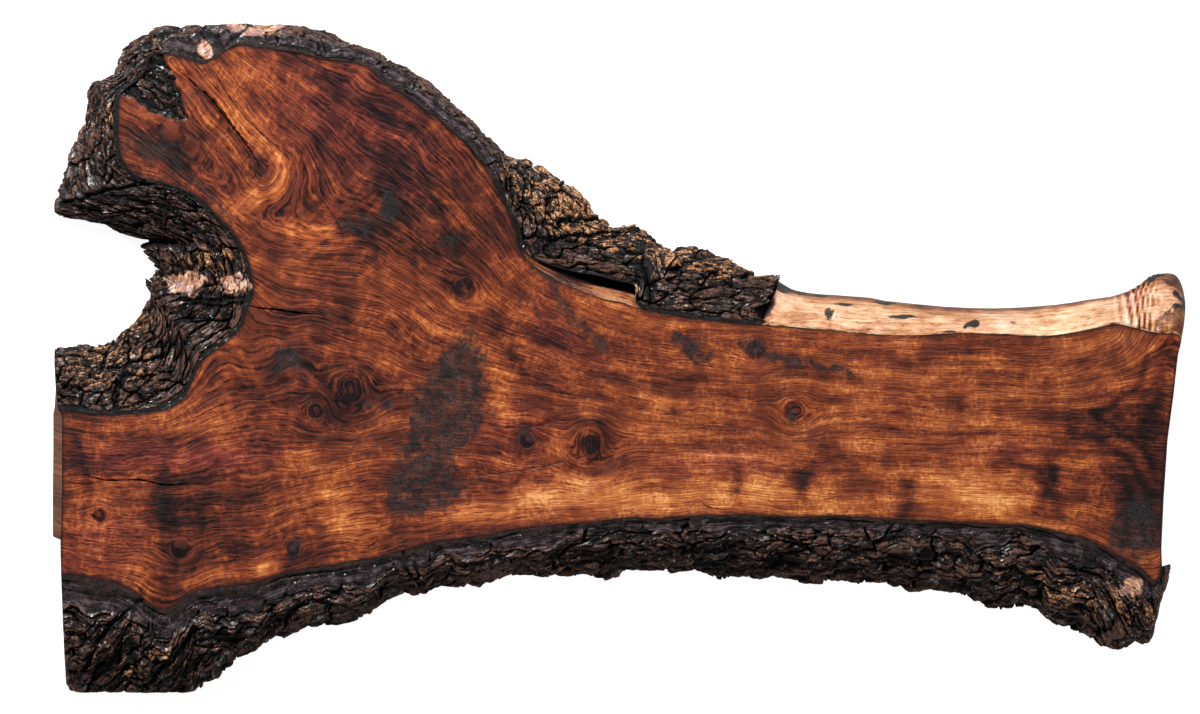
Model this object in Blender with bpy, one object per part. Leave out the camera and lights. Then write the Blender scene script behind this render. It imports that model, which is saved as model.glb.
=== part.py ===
# A forked live-edge walnut slab with its bark still on, lying flat on its sawn underside.
# Metres, +Z up. +X runs from the forked end to the narrow end, +Y from the belly to the crown.

import bmesh
import bpy
import numpy as np
from mathutils import Matrix

# Driving dimensions.
SLAB_LENGTH = 1.80
SLAB_THICKNESS = 0.10
BARK_RELIEF = 0.013
PLATE_LENGTH = 0.075
PLATE_WIDTH = 0.036
PLATE_WANDER = 0.050
FISSURE_WIDTH = 0.45
MEAN_SWELL = 0.72
CHIP_SIZE = 0.025
SECTION_STEP = 0.0125
SEAT_GAP = 0.0003
HIDDEN_INSET = 0.0015
WOOD_FLARE = 0.50
BARK_FOOT = 0.10
BARK_TUCK = 0.004
BARK_LEAST = 0.006
BARK_ROWS = 8
BARK_INNER_LEVELS = (1.0, 0.62, 0.28, 0.0)
SAPWOOD_RIPPLE = 0.0035
SEED = 41

# The plan sketch: x runs right, y runs down, and SKETCH_LENGTH of its units make SLAB_LENGTH.
SKETCH_LENGTH = 1137.0
SKETCH_MIDDLE = (619.0, 357.0)
UNIT = SLAB_LENGTH / SKETCH_LENGTH

# Stations round the slab, clockwise in the sketch. Each holds the edge of the wood's top face,
# the outermost edge below it, how much of the way between the two the bark's flat sawn rim
# takes, and how far along it the bark has lifted off the wood.
FORK_STATIONS = (
    (58, 409, 51, 350, 0.12, 0),
    (80, 412, 80, 347, 0.10, 0),
    (102, 414, 105, 346, 0.10, 0),
    (126, 414, 121, 333, 0.10, 0),
    (150, 412, 137, 322, 0.08, 0),
    (169, 408, 144, 309, 0.07, 0),
    (185, 396, 149, 298, 0.07, 0),
    (193, 378, 149, 291, 0.06, 0),
    (202, 360, 145, 286, 0.06, 0),
    (222, 345, 148, 280, 0.05, 0),
    (238, 330, 155, 277, 0.05, 0),
    (247, 308, 156, 269, 0.05, 0),
    (253, 292, 151, 261, 0.05, 0),
    (250, 270, 145, 252, 0.05, 0),
    (246, 255, 140, 245, 0.06, 0),
    (240, 243, 150, 240, 0.06, 0),
    (232, 232, 141, 238, 0.06, 0),
    (222, 222, 126, 233, 0.06, 0),
    (210, 209, 112, 227, 0.06, 0),
    (196, 197, 96, 223, 0.06, 0),
    (180, 189, 76, 219, 0.06, 0),
    (163, 183, 56, 213, 0.06, 0),
    (149, 180, 52, 207, 0.06, 0),
    (138, 177, 58, 190, 0.08, 0),
    (128, 169, 67, 168, 0.10, 0),
    (121, 157, 74, 150, 0.12, 0),
    (118, 140, 80, 130, 0.15, 0),
    (118, 120, 85, 114, 0.20, 0),
    (119, 98, 89, 91, 0.20, 0),
    (126, 88, 95, 81, 0.25, 0),
    (138, 80, 105, 79, 0.30, 0),
    (146, 68, 114, 68, 0.30, 0),
    (151, 56, 121, 54, 0.30, 0),
    (165, 54, 133, 41, 0.45, 0),
    (182, 57, 158, 31, 0.75, 0),
    (204, 63, 184, 28, 0.80, 0),
    (225, 50, 208, 26, 0.70, 0),
)
CROWN_STATIONS = (
    (227, 48, 210.5, 25, 0.50, 0),
    (240, 45, 232, 21, 0.60, 0),
    (260, 47, 254, 21, 0.70, 0),
    (280, 50, 280, 25, 0.70, 0),
    (300, 53, 302, 27, 0.70, 0),
    (320, 58, 326, 35, 0.75, 0),
    (340, 61, 350, 43, 0.80, 0),
    (360, 64, 374, 54, 0.80, 0),
    (372, 70, 392, 63, 0.75, 0),
    (384, 82, 406, 71, 0.75, 0),
    (400, 92, 420, 80, 0.70, 0),
    (420, 106, 440, 96, 0.70, 0),
    (440, 120, 460, 112, 0.65, 0),
    (455, 134, 474, 124, 0.60, 0),
    (468, 145, 486, 135, 0.50, 0),
    (478, 158, 500, 148, 0.40, 0),
    (488, 172, 514, 156, 0.30, 0),
    (496, 187, 527, 160, 0.25, 0),
    (504, 202, 541, 168, 0.20, 0),
    (511, 217, 556, 177, 0.15, 0),
    (516, 231, 567, 187, 0.12, 0),
    (519, 245, 578, 197, 0.10, 0.05),
    (526, 258, 588, 208, 0.10, 0.13),
    (536, 268, 600, 219, 0.10, 0.20),
    (550, 276, 611, 227, 0.10, 0.25),
    (567, 285, 624, 227, 0.10, 0.33),
    (585, 292, 636, 228, 0.10, 0.38),
    (605, 299, 648, 238, 0.10, 0.44),
    (622, 302, 661, 247, 0.10, 0.45),
    (634, 307, 676, 250, 0.10, 0.20),
    (650, 311, 697, 248, 0.08, 0),
    (675, 315, 712, 255, 0.08, 0),
    (700, 319, 732, 264, 0.08, 0),
    (730, 322, 752, 274, 0.08, 0),
    (757, 325, 777, 277, 0.08, 0),
)
SAPWOOD_STATIONS = (
    (768, 325, 784, 288),
    (785, 326, 794, 291),
    (805, 328, 812, 293),
    (830, 330, 835, 295),
    (860, 333, 862, 298),
    (890, 335, 890, 301),
    (920, 335, 920, 304),
    (955, 333, 955, 307),
    (1000, 334, 1000, 308),
    (1040, 336, 1040, 306),
    (1070, 333, 1072, 303),
    (1095, 328, 1098, 299),
    (1115, 324, 1118, 295),
    (1132, 327, 1136, 288),
    (1150, 332, 1152, 278),
    (1166, 333, 1166, 273),
    (1176, 333, 1180, 279),
    (1180, 335, 1187, 295),
    (1181, 338, 1187, 315),
    (1181, 343, 1182, 338),
)
NARROW_END = (
    (1178, 355, 1179, 355),
    (1173, 395, 1175, 395),
    (1167, 440, 1169, 440),
    (1163, 500, 1165, 500),
    (1161, 545, 1163, 545),
)
BELLY_STATIONS = (
    (1161, 568, 1169, 566, 0.30, 0),
    (1160, 575, 1166, 588, 0.30, 0),
    (1157, 580, 1162, 612, 0.30, 0),
    (1152, 580, 1154, 641, 0.25, 0),
    (1144, 572, 1137, 643, 0.25, 0),
    (1134, 565, 1120, 646, 0.20, 0),
    (1120, 558, 1102, 641, 0.20, 0),
    (1104, 548, 1086, 632, 0.20, 0),
    (1086, 539, 1068, 628, 0.20, 0),
    (1065, 534, 1047, 620, 0.20, 0),
    (1045, 529, 1036, 608, 0.20, 0),
    (1022, 525, 1018, 606, 0.20, 0),
    (1000, 525, 998, 606, 0.20, 0),
    (980, 524, 976, 600, 0.20, 0),
    (962, 523, 957, 593, 0.20, 0),
    (940, 522, 938, 589, 0.20, 0),
    (903, 520, 899, 586, 0.18, 0),
    (888, 519, 886, 582, 0.18, 0),
    (870, 518, 868, 579, 0.18, 0),
    (830, 516, 829, 578, 0.18, 0),
    (812, 517, 812, 582, 0.18, 0),
    (795, 517, 794, 576, 0.18, 0),
    (742, 515, 742, 576, 0.18, 0),
    (718, 516, 718, 576, 0.18, 0),
    (700, 516, 700, 571, 0.18, 0),
    (655, 519, 655, 569, 0.20, 0),
    (630, 518, 633, 570, 0.20, 0),
    (605, 521, 608, 577, 0.20, 0),
    (585, 523, 588, 574, 0.22, 0),
    (563, 525, 568, 575, 0.25, 0),
    (540, 527, 545, 576, 0.28, 0),
    (515, 530, 520, 573, 0.30, 0),
    (495, 534, 500, 576, 0.30, 0),
    (475, 537, 483, 583, 0.32, 0),
    (455, 540, 463, 586, 0.35, 0),
    (437, 542, 442, 586, 0.35, 0),
    (415, 547, 421, 593, 0.35, 0),
    (395, 553, 399, 594, 0.35, 0),
    (375, 558, 380, 603, 0.35, 0),
    (355, 561, 362, 614, 0.35, 0),
    (335, 565, 345, 622, 0.35, 0),
    (295, 571, 300, 628, 0.35, 0),
    (280, 575, 282, 634, 0.35, 0),
    (265, 581, 266, 640, 0.35, 0),
    (250, 584, 253, 649, 0.30, 0),
    (230, 586, 236, 658, 0.30, 0),
    (210, 589, 222, 672, 0.30, 0),
    (193, 593, 205, 681, 0.30, 0),
    (180, 602, 191, 691, 0.28, 0),
    (165, 610, 170, 694, 0.28, 0),
    (150, 604, 148, 695, 0.25, 0),
    (135, 592, 125, 694, 0.25, 0),
    (117, 583, 103, 694, 0.25, 0),
    (95, 579, 83, 693, 0.24, 0),
    (75, 575, 70, 688, 0.24, 0),
    (62, 574, 66, 680, 0.24, 0),
)
FORKED_END = (
    (61, 556, 61, 556),
    (61, 540, 61, 540),
    (61, 537, 53, 537),
    (62, 490, 53, 490),
    (62, 450, 54, 450),
    (62, 416, 54, 414),
)

# How far out the wood stands at each of its side's levels, as a share of the way to the outer
# edge: behind bark, where the bark has lifted, on bare sapwood and on a sawn end with a ledge.
LEVELS = (1.0, 0.86, 0.62, 0.58, 0.28, 0.0)
BEHIND_BARK = tuple(WOOD_FLARE * (1 - level) for level in LEVELS)
BESIDE_GAP = (0.0, 0.13, 0.22, 0.235, 0.36, WOOD_FLARE)
BARE_SAPWOOD = (0.0, 0.30, 0.66, 0.70, 0.93, 0.98)
LEDGE_END = (0.0, 0.04, 0.08, 1.0, 1.0, 1.0)

# Splits in the top face.
HEART_CHECK = ((180, 71), (190, 80), (211, 99), (223, 114), (236, 131), (246, 144), (258, 162))
FORK_CHECK = ((243, 304), (260, 308), (280, 310), (300, 313), (323, 314))
END_CHECK = ((62, 476), (85, 475), (105, 480), (140, 480), (165, 485), (188, 484), (212, 482))
CHECK_WIDTH = 0.005
CHECK_DEPTH = 0.018

# The pocket of ingrown bark on the top face, open towards the forked edge.
POCKET = (
    (110, 84),
    (117, 94),
    (133, 100),
    (150, 113),
    (165, 118),
    (188, 120),
    (186, 112),
    (160, 88),
    (141, 79),
    (128, 72),
)
POCKET_DEPTH = 0.007
POCKET_DENT = 0.012
CUTTER_PROUD = 0.003

KNOB_CENTRE = (1162, 322)
KNOB_RIPPLE_PITCH = 0.011
KNOB_REACH = 0.10
SHARP_ANGLE = 38
NOISE_CELLS = 64


def plan(x, y):
    return np.array(((x - SKETCH_MIDDLE[0]) * UNIT, (SKETCH_MIDDLE[1] - y) * UNIT))


def clear_scene():
    for thing in list(bpy.data.objects):
        bpy.data.objects.remove(thing)


def make_material(name, colour, roughness):
    material = bpy.data.materials.new(name)
    material.use_nodes = True
    shader = material.node_tree.nodes["Principled BSDF"]
    shader.inputs["Base Color"].default_value = (*colour, 1)
    shader.inputs["Roughness"].default_value = roughness
    shader.inputs["Metallic"].default_value = 0
    material.diffuse_color = (*colour, 1)
    return material


def catmull_rom(values, at):
    """Reads a smooth curve through the rows of values at the parameters at, one per row."""
    last = len(values) - 1
    span = np.clip(np.floor(at).astype(int), 0, last - 1)
    part = (at - span)[:, None]
    before = values[np.maximum(span - 1, 0)]
    start = values[span]
    end = values[span + 1]
    after = values[np.minimum(span + 2, last)]
    return 0.5 * (
        2 * start
        + (end - before) * part
        + (2 * before - 5 * start + 4 * end - after) * part**2
        + (3 * start - before - 3 * end + after) * part**3
    )


def sample_stations(stations, step):
    """Evenly spaced sections along a row of stations: wood edges, outer edges, rims and lifts."""
    table = np.array(stations, float)
    table = np.hstack([plan(*table[:, :2].T).T, plan(*table[:, 2:4].T).T, table[:, 4:]])
    fine = np.linspace(0, len(table) - 1, 24 * len(table))
    route = catmull_rom(table, fine)
    middle = 0.4 * route[:, :2] + 0.6 * route[:, 2:4]
    run = np.concatenate([[0], np.cumsum(np.linalg.norm(np.diff(middle, axis=0), axis=1))])
    count = int(run[-1] / step) + 1
    at = np.interp(np.linspace(0, run[-1], count), run, fine)
    table = catmull_rom(table, at)
    return table[:, :2], table[:, 2:4], np.interp(at, fine, run), table[:, 4:]


def value_noise(x, y, seed):
    """Smooth noise between -1 and 1 with about one swell per unit."""
    grid = np.random.default_rng(SEED + seed).uniform(-1, 1, (NOISE_CELLS, NOISE_CELLS))
    column = np.floor(x).astype(int)
    row = np.floor(y).astype(int)
    across = x - column
    down = y - row
    across = across * across * (3 - 2 * across)
    down = down * down * (3 - 2 * down)

    def corner(i, j):
        return grid[(column + i) % NOISE_CELLS, (row + j) % NOISE_CELLS]

    left = corner(0, 0) * (1 - down) + corner(0, 1) * down
    right = corner(1, 0) * (1 - down) + corner(1, 1) * down
    return left * (1 - across) + right * across


def bark_plates(along, across, seed):
    """Plated bark, from 0 in a fissure to 1 on a plate: raised cells parted by deep grooves."""
    wander = value_noise(along / PLATE_WANDER, across / PLATE_WANDER, seed + 1)
    x = along / PLATE_LENGTH + 0.5 * wander
    wander = value_noise(along / PLATE_WANDER, across / PLATE_WANDER, seed + 2)
    y = across / PLATE_WIDTH + 0.7 * wander
    jitter = np.random.default_rng(SEED + seed).random((NOISE_CELLS, NOISE_CELLS, 3))
    nearest = np.full(x.shape, np.inf)
    second = np.full(x.shape, np.inf)
    lift = np.zeros(x.shape)
    for i in (-1, 0, 1):
        for j in (-1, 0, 1):
            column = np.floor(x).astype(int) + i
            row = np.floor(y).astype(int) + j
            cell = jitter[column % NOISE_CELLS, row % NOISE_CELLS]
            away = np.hypot(column + cell[..., 0] - x, row + cell[..., 1] - y)
            closer = away < nearest
            second = np.where(closer, nearest, np.minimum(second, away))
            lift = np.where(closer, cell[..., 2], lift)
            nearest = np.where(closer, away, nearest)
    plate = np.clip((second - nearest) / FISSURE_WIDTH, 0, 1)
    return plate**0.6 * (0.55 + 0.45 * lift)


def skin(rings):
    """A closed mesh from rings of points, each one section, skinned in order and capped."""
    mesh = bmesh.new()
    grid = [[mesh.verts.new(point) for point in ring] for ring in rings]
    for here, there in zip(grid, grid[1:]):
        for j in range(len(here)):
            k = (j + 1) % len(here)
            mesh.faces.new((here[j], there[j], there[k]))
            mesh.faces.new((here[j], there[k], here[k]))
    mesh.faces.new(list(reversed(grid[0])))
    mesh.faces.new(grid[-1])
    return mesh


def object_from_bmesh(name, mesh, material):
    bmesh.ops.triangulate(mesh, faces=[face for face in mesh.faces if len(face.verts) > 3])
    bmesh.ops.recalc_face_normals(mesh, faces=mesh.faces)
    if mesh.calc_volume(signed=True) < 0:
        bmesh.ops.reverse_faces(mesh, faces=mesh.faces)
    data = bpy.data.meshes.new(name)
    mesh.to_mesh(data)
    mesh.free()
    if material:
        data.materials.append(material)
    data.shade_smooth()
    data.set_sharp_from_angle(angle=np.radians(SHARP_ANGLE))
    thing = bpy.data.objects.new(name, data)
    bpy.context.scene.collection.objects.link(thing)
    return thing


def bark_strip(name, stations, seed, material):
    """A stretch of bark: a flat sawn rim level with the wood, then plated bark down to the floor."""
    wood, outer, along, shape = sample_stations(stations, SECTION_STEP)
    reach = outer - wood
    width = np.linalg.norm(reach, axis=1)
    outward = reach / width[:, None]
    rim, lift = np.clip(shape.T, 0, 0.9)
    inner_share = lift + SEAT_GAP / width
    rim_share = inner_share + rim * (1 - inner_share)

    turn = np.linspace(0, 1, BARK_ROWS)
    out = 0.5 * turn + 0.5 * np.sin(turn * np.pi / 2)
    drop = 0.5 * turn + 0.5 * (1 - np.cos(turn * np.pi / 2))
    share = rim_share[:, None] + (1 - rim_share[:, None]) * out
    height = SLAB_THICKNESS * (1 - (1 - BARK_FOOT) * drop) * np.ones_like(share)
    distance = share * width[:, None]

    slope_out = np.gradient(distance, axis=1)
    slope_down = -np.gradient(height, axis=1)
    length = np.hypot(slope_out, slope_down)
    across = np.cumsum(length, axis=1)
    swell = bark_plates(along[:, None], across, seed)
    swell += 0.25 * value_noise(along[:, None] / CHIP_SIZE, across / CHIP_SIZE, seed + 5)
    push = BARK_RELIEF * (swell - MEAN_SWELL) * np.clip(turn * 3, 0, 1)
    distance = distance + push * slope_down / length
    height = np.minimum(height + push * slope_out / length, SLAB_THICKNESS)
    wood_side = WOOD_FLARE * width[:, None] * (1 - height / SLAB_THICKNESS)
    distance = np.maximum(distance, np.maximum(distance[:, :1], wood_side + BARK_LEAST))

    foot = np.maximum(distance[:, -1] - BARK_TUCK, WOOD_FLARE * width + SEAT_GAP + BARK_TUCK)
    inner_level = np.array(BARK_INNER_LEVELS)
    inner = lift[:, None] * inner_level + WOOD_FLARE * (1 - inner_level)
    inner = inner * width[:, None] + SEAT_GAP
    far = np.column_stack([inner, foot, distance[:, ::-1]])
    floor = np.zeros((len(far), 1))
    level = np.column_stack([floor + SLAB_THICKNESS * inner_level, floor, height[:, ::-1]])
    rings = np.dstack([wood[:, None] + far[..., None] * outward[:, None], level[..., None]])
    return object_from_bmesh(name, skin(rings), material)


def wood_sections(stations, shares, inset):
    """The wood's side along one stretch, as rings of points from the top face to the underside."""
    table = [station[:6] if len(station) > 4 else (*station, 0, 0) for station in stations]
    if len(stations) > 8:
        wood, outer, along, shape = sample_stations(table, SECTION_STEP)
    else:
        values = np.array(table, float)
        wood = plan(*values[:, :2].T).T
        outer = plan(*values[:, 2:4].T).T
        along = np.zeros(len(values))
        shape = values[:, 4:]
    reach = outer - wood
    width = np.linalg.norm(reach, axis=1)
    outward = reach / np.maximum(width, 1e-6)[:, None]
    lifted = np.clip(shape[:, 1:] * 8, 0, 1)
    share = np.array(shares) * (1 - lifted) + np.array(BESIDE_GAP) * lifted
    far = share * width[:, None]
    far[:, 1:-1] -= inset
    level = SLAB_THICKNESS * np.array(LEVELS)
    return wood, outward, along, far, level


def wood_rings(stations, shares, inset=0.0, rippled=False):
    wood, outward, along, far, level = wood_sections(stations, shares, inset)
    if rippled:
        knob = plan(*KNOB_CENTRE)
        from_knob = np.linalg.norm(wood - knob, axis=1)[:, None] + 0.5 * far
        near = np.clip(1 - from_knob / KNOB_REACH, 0, 1)
        waves = near * np.sin(2 * np.pi * from_knob / KNOB_RIPPLE_PITCH)
        dents = value_noise(along[:, None] / 0.05 + 0 * far, far / 0.02, 21)
        far[:, 1:-1] += SAPWOOD_RIPPLE * (waves + 0.7 * dents)[:, 1:-1]
    flat = wood[:, None] + far[..., None] * outward[:, None]
    heights = np.broadcast_to(level[None, :, None], (*flat.shape[:2], 1))
    return np.concatenate([flat, heights], axis=2)


def wood_slab(material):
    """The heartwood and sapwood, one piece: two flat sawn faces and a side that flares outward."""
    rings = np.concatenate(
        [
            wood_rings(FORK_STATIONS, BEHIND_BARK, HIDDEN_INSET),
            wood_rings(CROWN_STATIONS, BEHIND_BARK, HIDDEN_INSET),
            wood_rings(SAPWOOD_STATIONS, BARE_SAPWOOD, rippled=True),
            wood_rings(NARROW_END, BARE_SAPWOOD),
            wood_rings(BELLY_STATIONS, BEHIND_BARK, HIDDEN_INSET),
            wood_rings(FORKED_END, LEDGE_END),
        ]
    )
    mesh = bmesh.new()
    grid = [[mesh.verts.new(point) for point in ring] for ring in rings]
    for here, there in zip(grid, grid[1:] + grid[:1]):
        for j in range(len(LEVELS) - 1):
            mesh.faces.new((here[j], there[j], there[j + 1]))
            mesh.faces.new((here[j], there[j + 1], here[j + 1]))
    mesh.faces.new([ring[0] for ring in reversed(grid)])
    mesh.faces.new([ring[-1] for ring in grid])
    return object_from_bmesh("walnut_slab", mesh, material)


def add_cutter(name, mesh, target):
    cutter = object_from_bmesh(name, mesh, None)
    cutter.hide_render = True
    cutter.display_type = "WIRE"
    cut = target.modifiers.new(name, "BOOLEAN")
    cut.operation = "DIFFERENCE"
    cut.object = cutter
    return cutter


def cut_check(name, points, target):
    """A drying split: a V-shaped groove that thins out at both ends."""
    route = np.array([plan(*point) for point in points])
    tangent = np.gradient(route, axis=0)
    normal = np.stack([-tangent[:, 1], tangent[:, 0]], axis=1)
    normal /= np.linalg.norm(normal, axis=1)[:, None]
    swell = 0.12 + np.sin(np.linspace(0, np.pi, len(route)))
    half = 0.5 * CHECK_WIDTH * np.minimum(swell, 1)
    above = SLAB_THICKNESS + CUTTER_PROUD
    rings = []
    for point, side, reach in zip(route, normal, half):
        left = point + side * reach
        right = point - side * reach
        keel = SLAB_THICKNESS - CHECK_DEPTH * reach / half.max()
        rings.append(((*left, above), (*right, above), (*point, keel)))
    add_cutter(name, skin(rings), target)


def cut_pocket(target):
    """The shallow pocket that ingrown bark fills, with an uneven floor."""
    mesh = bmesh.new()
    floor = mesh.faces.new([mesh.verts.new((*plan(*point), SLAB_THICKNESS)) for point in POCKET])
    bmesh.ops.triangulate(mesh, faces=[floor])
    bmesh.ops.subdivide_edges(mesh, edges=mesh.edges[:], cuts=1, use_grid_fill=True)
    for corner in mesh.verts:
        dip = 0.5 + 0.5 * value_noise(corner.co.x / POCKET_DENT, corner.co.y / POCKET_DENT, 31)
        corner.co.z -= POCKET_DEPTH * (0.4 + 0.6 * dip)
    roof = bmesh.ops.extrude_face_region(mesh, geom=mesh.faces[:])["geom"]
    for corner in roof:
        if isinstance(corner, bmesh.types.BMVert):
            corner.co.z = SLAB_THICKNESS + CUTTER_PROUD
    add_cutter("cutter_pocket", mesh, target)


def centre_on_origin():
    """Moves everything so that the middle of the slab's footprint is the origin."""
    points = np.array(
        [corner.co for thing in bpy.data.objects if not thing.hide_render for corner in thing.data.vertices]
    )
    middle = (points.min(0) + points.max(0)) / 2
    for thing in bpy.data.objects:
        thing.data.transform(Matrix.Translation((-middle[0], -middle[1], 0)))


def main():
    clear_scene()
    heartwood = make_material("oiled walnut", (0.22, 0.075, 0.03), 0.35)
    bark = make_material("walnut bark", (0.035, 0.028, 0.026), 0.6)
    slab = wood_slab(heartwood)
    cut_check("cutter_heart_check", HEART_CHECK, slab)
    cut_check("cutter_fork_check", FORK_CHECK, slab)
    cut_check("cutter_end_check", END_CHECK, slab)
    cut_pocket(slab)
    bark_strip("fork_bark", FORK_STATIONS, 100, bark)
    bark_strip("crown_bark", CROWN_STATIONS, 200, bark)
    bark_strip("belly_bark", BELLY_STATIONS, 300, bark)
    centre_on_origin()


main()
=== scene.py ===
import math

import bpy
import numpy as np
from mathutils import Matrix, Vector
from mathutils.geometry import delaunay_2d_cdt
from mathutils.kdtree import KDTree


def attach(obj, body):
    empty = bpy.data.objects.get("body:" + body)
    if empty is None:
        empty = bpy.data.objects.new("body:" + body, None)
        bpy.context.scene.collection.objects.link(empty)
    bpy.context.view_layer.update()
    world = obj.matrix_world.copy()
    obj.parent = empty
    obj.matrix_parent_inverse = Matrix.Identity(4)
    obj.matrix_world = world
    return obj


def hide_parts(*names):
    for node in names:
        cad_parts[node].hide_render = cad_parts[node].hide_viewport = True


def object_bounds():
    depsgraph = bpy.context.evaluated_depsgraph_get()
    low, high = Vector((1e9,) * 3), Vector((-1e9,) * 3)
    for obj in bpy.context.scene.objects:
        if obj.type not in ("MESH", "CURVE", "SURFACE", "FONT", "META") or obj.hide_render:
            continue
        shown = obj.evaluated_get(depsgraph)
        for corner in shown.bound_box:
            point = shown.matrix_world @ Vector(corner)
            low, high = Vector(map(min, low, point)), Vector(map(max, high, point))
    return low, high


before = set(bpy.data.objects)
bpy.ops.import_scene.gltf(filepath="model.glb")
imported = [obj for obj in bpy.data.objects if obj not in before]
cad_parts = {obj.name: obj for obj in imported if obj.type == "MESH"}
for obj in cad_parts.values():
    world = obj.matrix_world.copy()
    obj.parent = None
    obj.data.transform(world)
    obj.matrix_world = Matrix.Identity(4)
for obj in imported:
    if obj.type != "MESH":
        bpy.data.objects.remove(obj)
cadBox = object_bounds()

# Plan sketch of the slab: x runs right, y runs down, read off the photograph's 1200 x 714 frame.
photo = {"length": 1137.0, "middle": (619.0, 357.0), "frameMiddle": (600.0, 357.0), "frameWidth": 1200.0}
slab = {"length": 1.80, "thickness": 0.10, "flare": 0.50, "barkFoot": 0.10, "seat": 0.0003, "seed": 41}
unit = slab["length"] / photo["length"]
top = slab["thickness"]

# Stations, each x, y: the edge of the wood's face, then the outermost edge of bark or wood.
# On bark also the share of flat rim and the share lifted off the wood.
forkStations = (
    (58, 409, 51, 350, 0.12, 0), (80, 412, 80, 347, 0.1, 0), (102, 414, 105, 346, 0.1, 0),
    (126, 414, 121, 333, 0.1, 0), (150, 412, 137, 322, 0.08, 0), (169, 408, 144, 309, 0.07, 0),
    (185, 396, 149, 298, 0.07, 0), (193, 378, 149, 291, 0.06, 0), (202, 360, 145, 286, 0.06, 0),
    (222, 345, 148, 280, 0.05, 0), (238, 330, 155, 277, 0.05, 0), (247, 308, 156, 269, 0.05, 0),
    (253, 292, 151, 261, 0.05, 0), (250, 270, 145, 252, 0.05, 0), (246, 255, 140, 245, 0.06, 0),
    (240, 243, 150, 240, 0.06, 0), (232, 232, 141, 238, 0.06, 0), (222, 222, 126, 233, 0.06, 0),
    (210, 209, 112, 227, 0.06, 0), (196, 197, 96, 223, 0.06, 0), (180, 189, 76, 219, 0.06, 0),
    (163, 183, 56, 213, 0.06, 0), (149, 180, 52, 207, 0.06, 0), (138, 177, 58, 190, 0.08, 0),
    (128, 169, 67, 168, 0.1, 0), (121, 157, 76, 150, 0.12, 0), (118, 140, 82, 131, 0.15, 0),
    (118, 120, 87, 114, 0.2, 0), (119, 98, 89, 91, 0.2, 0), (126, 88, 95, 81, 0.25, 0),
    (138, 80, 105, 79, 0.3, 0), (146, 68, 116, 69, 0.3, 0), (151, 56, 123, 56, 0.3, 0),
    (165, 54, 134, 43, 0.45, 0), (182, 57, 158, 31, 0.75, 0), (204, 63, 184, 28, 0.8, 0),
    (225, 50, 208, 26, 0.7, 0),
)
crownStations = (
    (225.1, 49.9, 208.1, 25.9, 0.5, 0), (240, 45, 232, 21, 0.6, 0), (260, 47, 254, 21, 0.7, 0),
    (280, 50, 280, 25, 0.7, 0), (300, 53, 302, 29, 0.7, 0), (320, 58, 325, 37, 0.75, 0),
    (340, 61, 349, 45, 0.8, 0), (360, 64, 374, 54, 0.8, 0), (372, 70, 392, 63, 0.75, 0),
    (384, 82, 406, 71, 0.75, 0), (400, 92, 420, 80, 0.7, 0), (420, 106, 440, 96, 0.7, 0),
    (440, 120, 458, 113, 0.65, 0), (455, 134, 472, 126, 0.6, 0), (468, 145, 483, 137, 0.5, 0),
    (478, 158, 497, 150, 0.4, 0), (488, 172, 512, 158, 0.3, 0), (496, 187, 527, 160, 0.25, 0),
    (504, 202, 541, 168, 0.2, 0), (511, 217, 556, 177, 0.15, 0), (516, 231, 567, 187, 0.12, 0),
    (519, 245, 578, 197, 0.1, 0), (526, 258, 588, 208, 0.1, 0.04), (536, 268, 600, 219, 0.1, 0.11),
    (550, 276, 611, 227, 0.1, 0.16), (567, 285, 624, 227, 0.1, 0.21), (585, 292, 636, 228, 0.1, 0.25),
    (605, 299, 648, 238, 0.1, 0.29), (622, 302, 661, 247, 0.1, 0.3), (634, 307, 676, 250, 0.1, 0.06),
    (650, 311, 697, 248, 0.08, 0), (675, 315, 712, 255, 0.08, 0), (700, 319, 732, 264, 0.08, 0),
    (730, 322, 752, 274, 0.08, 0), (757, 325, 777, 277, 0.08, 0),
)
sapwoodStations = (
    (768, 325, 779, 281), (785, 326, 793, 289), (805, 328, 812, 293), (830, 330, 835, 295),
    (860, 333, 862, 298), (890, 335, 890, 301), (920, 335, 920, 304), (955, 333, 955, 307),
    (1000, 334, 1000, 308), (1040, 336, 1040, 306), (1070, 333, 1072, 303), (1095, 328, 1098, 299),
    (1115, 324, 1118, 295), (1132, 327, 1136, 288), (1148, 331, 1151, 277), (1162, 333, 1162, 273.5),
    (1174, 333, 1177, 275), (1179, 335, 1184, 286), (1181, 338, 1187, 303), (1181, 340, 1186, 320),
    (1181, 343, 1182, 338),
)
narrowEnd = (
    (1178, 355, 1179, 355), (1173, 395, 1175, 395), (1167, 440, 1169, 440), (1163, 500, 1165, 500),
    (1161, 545, 1163, 545),
)
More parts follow.
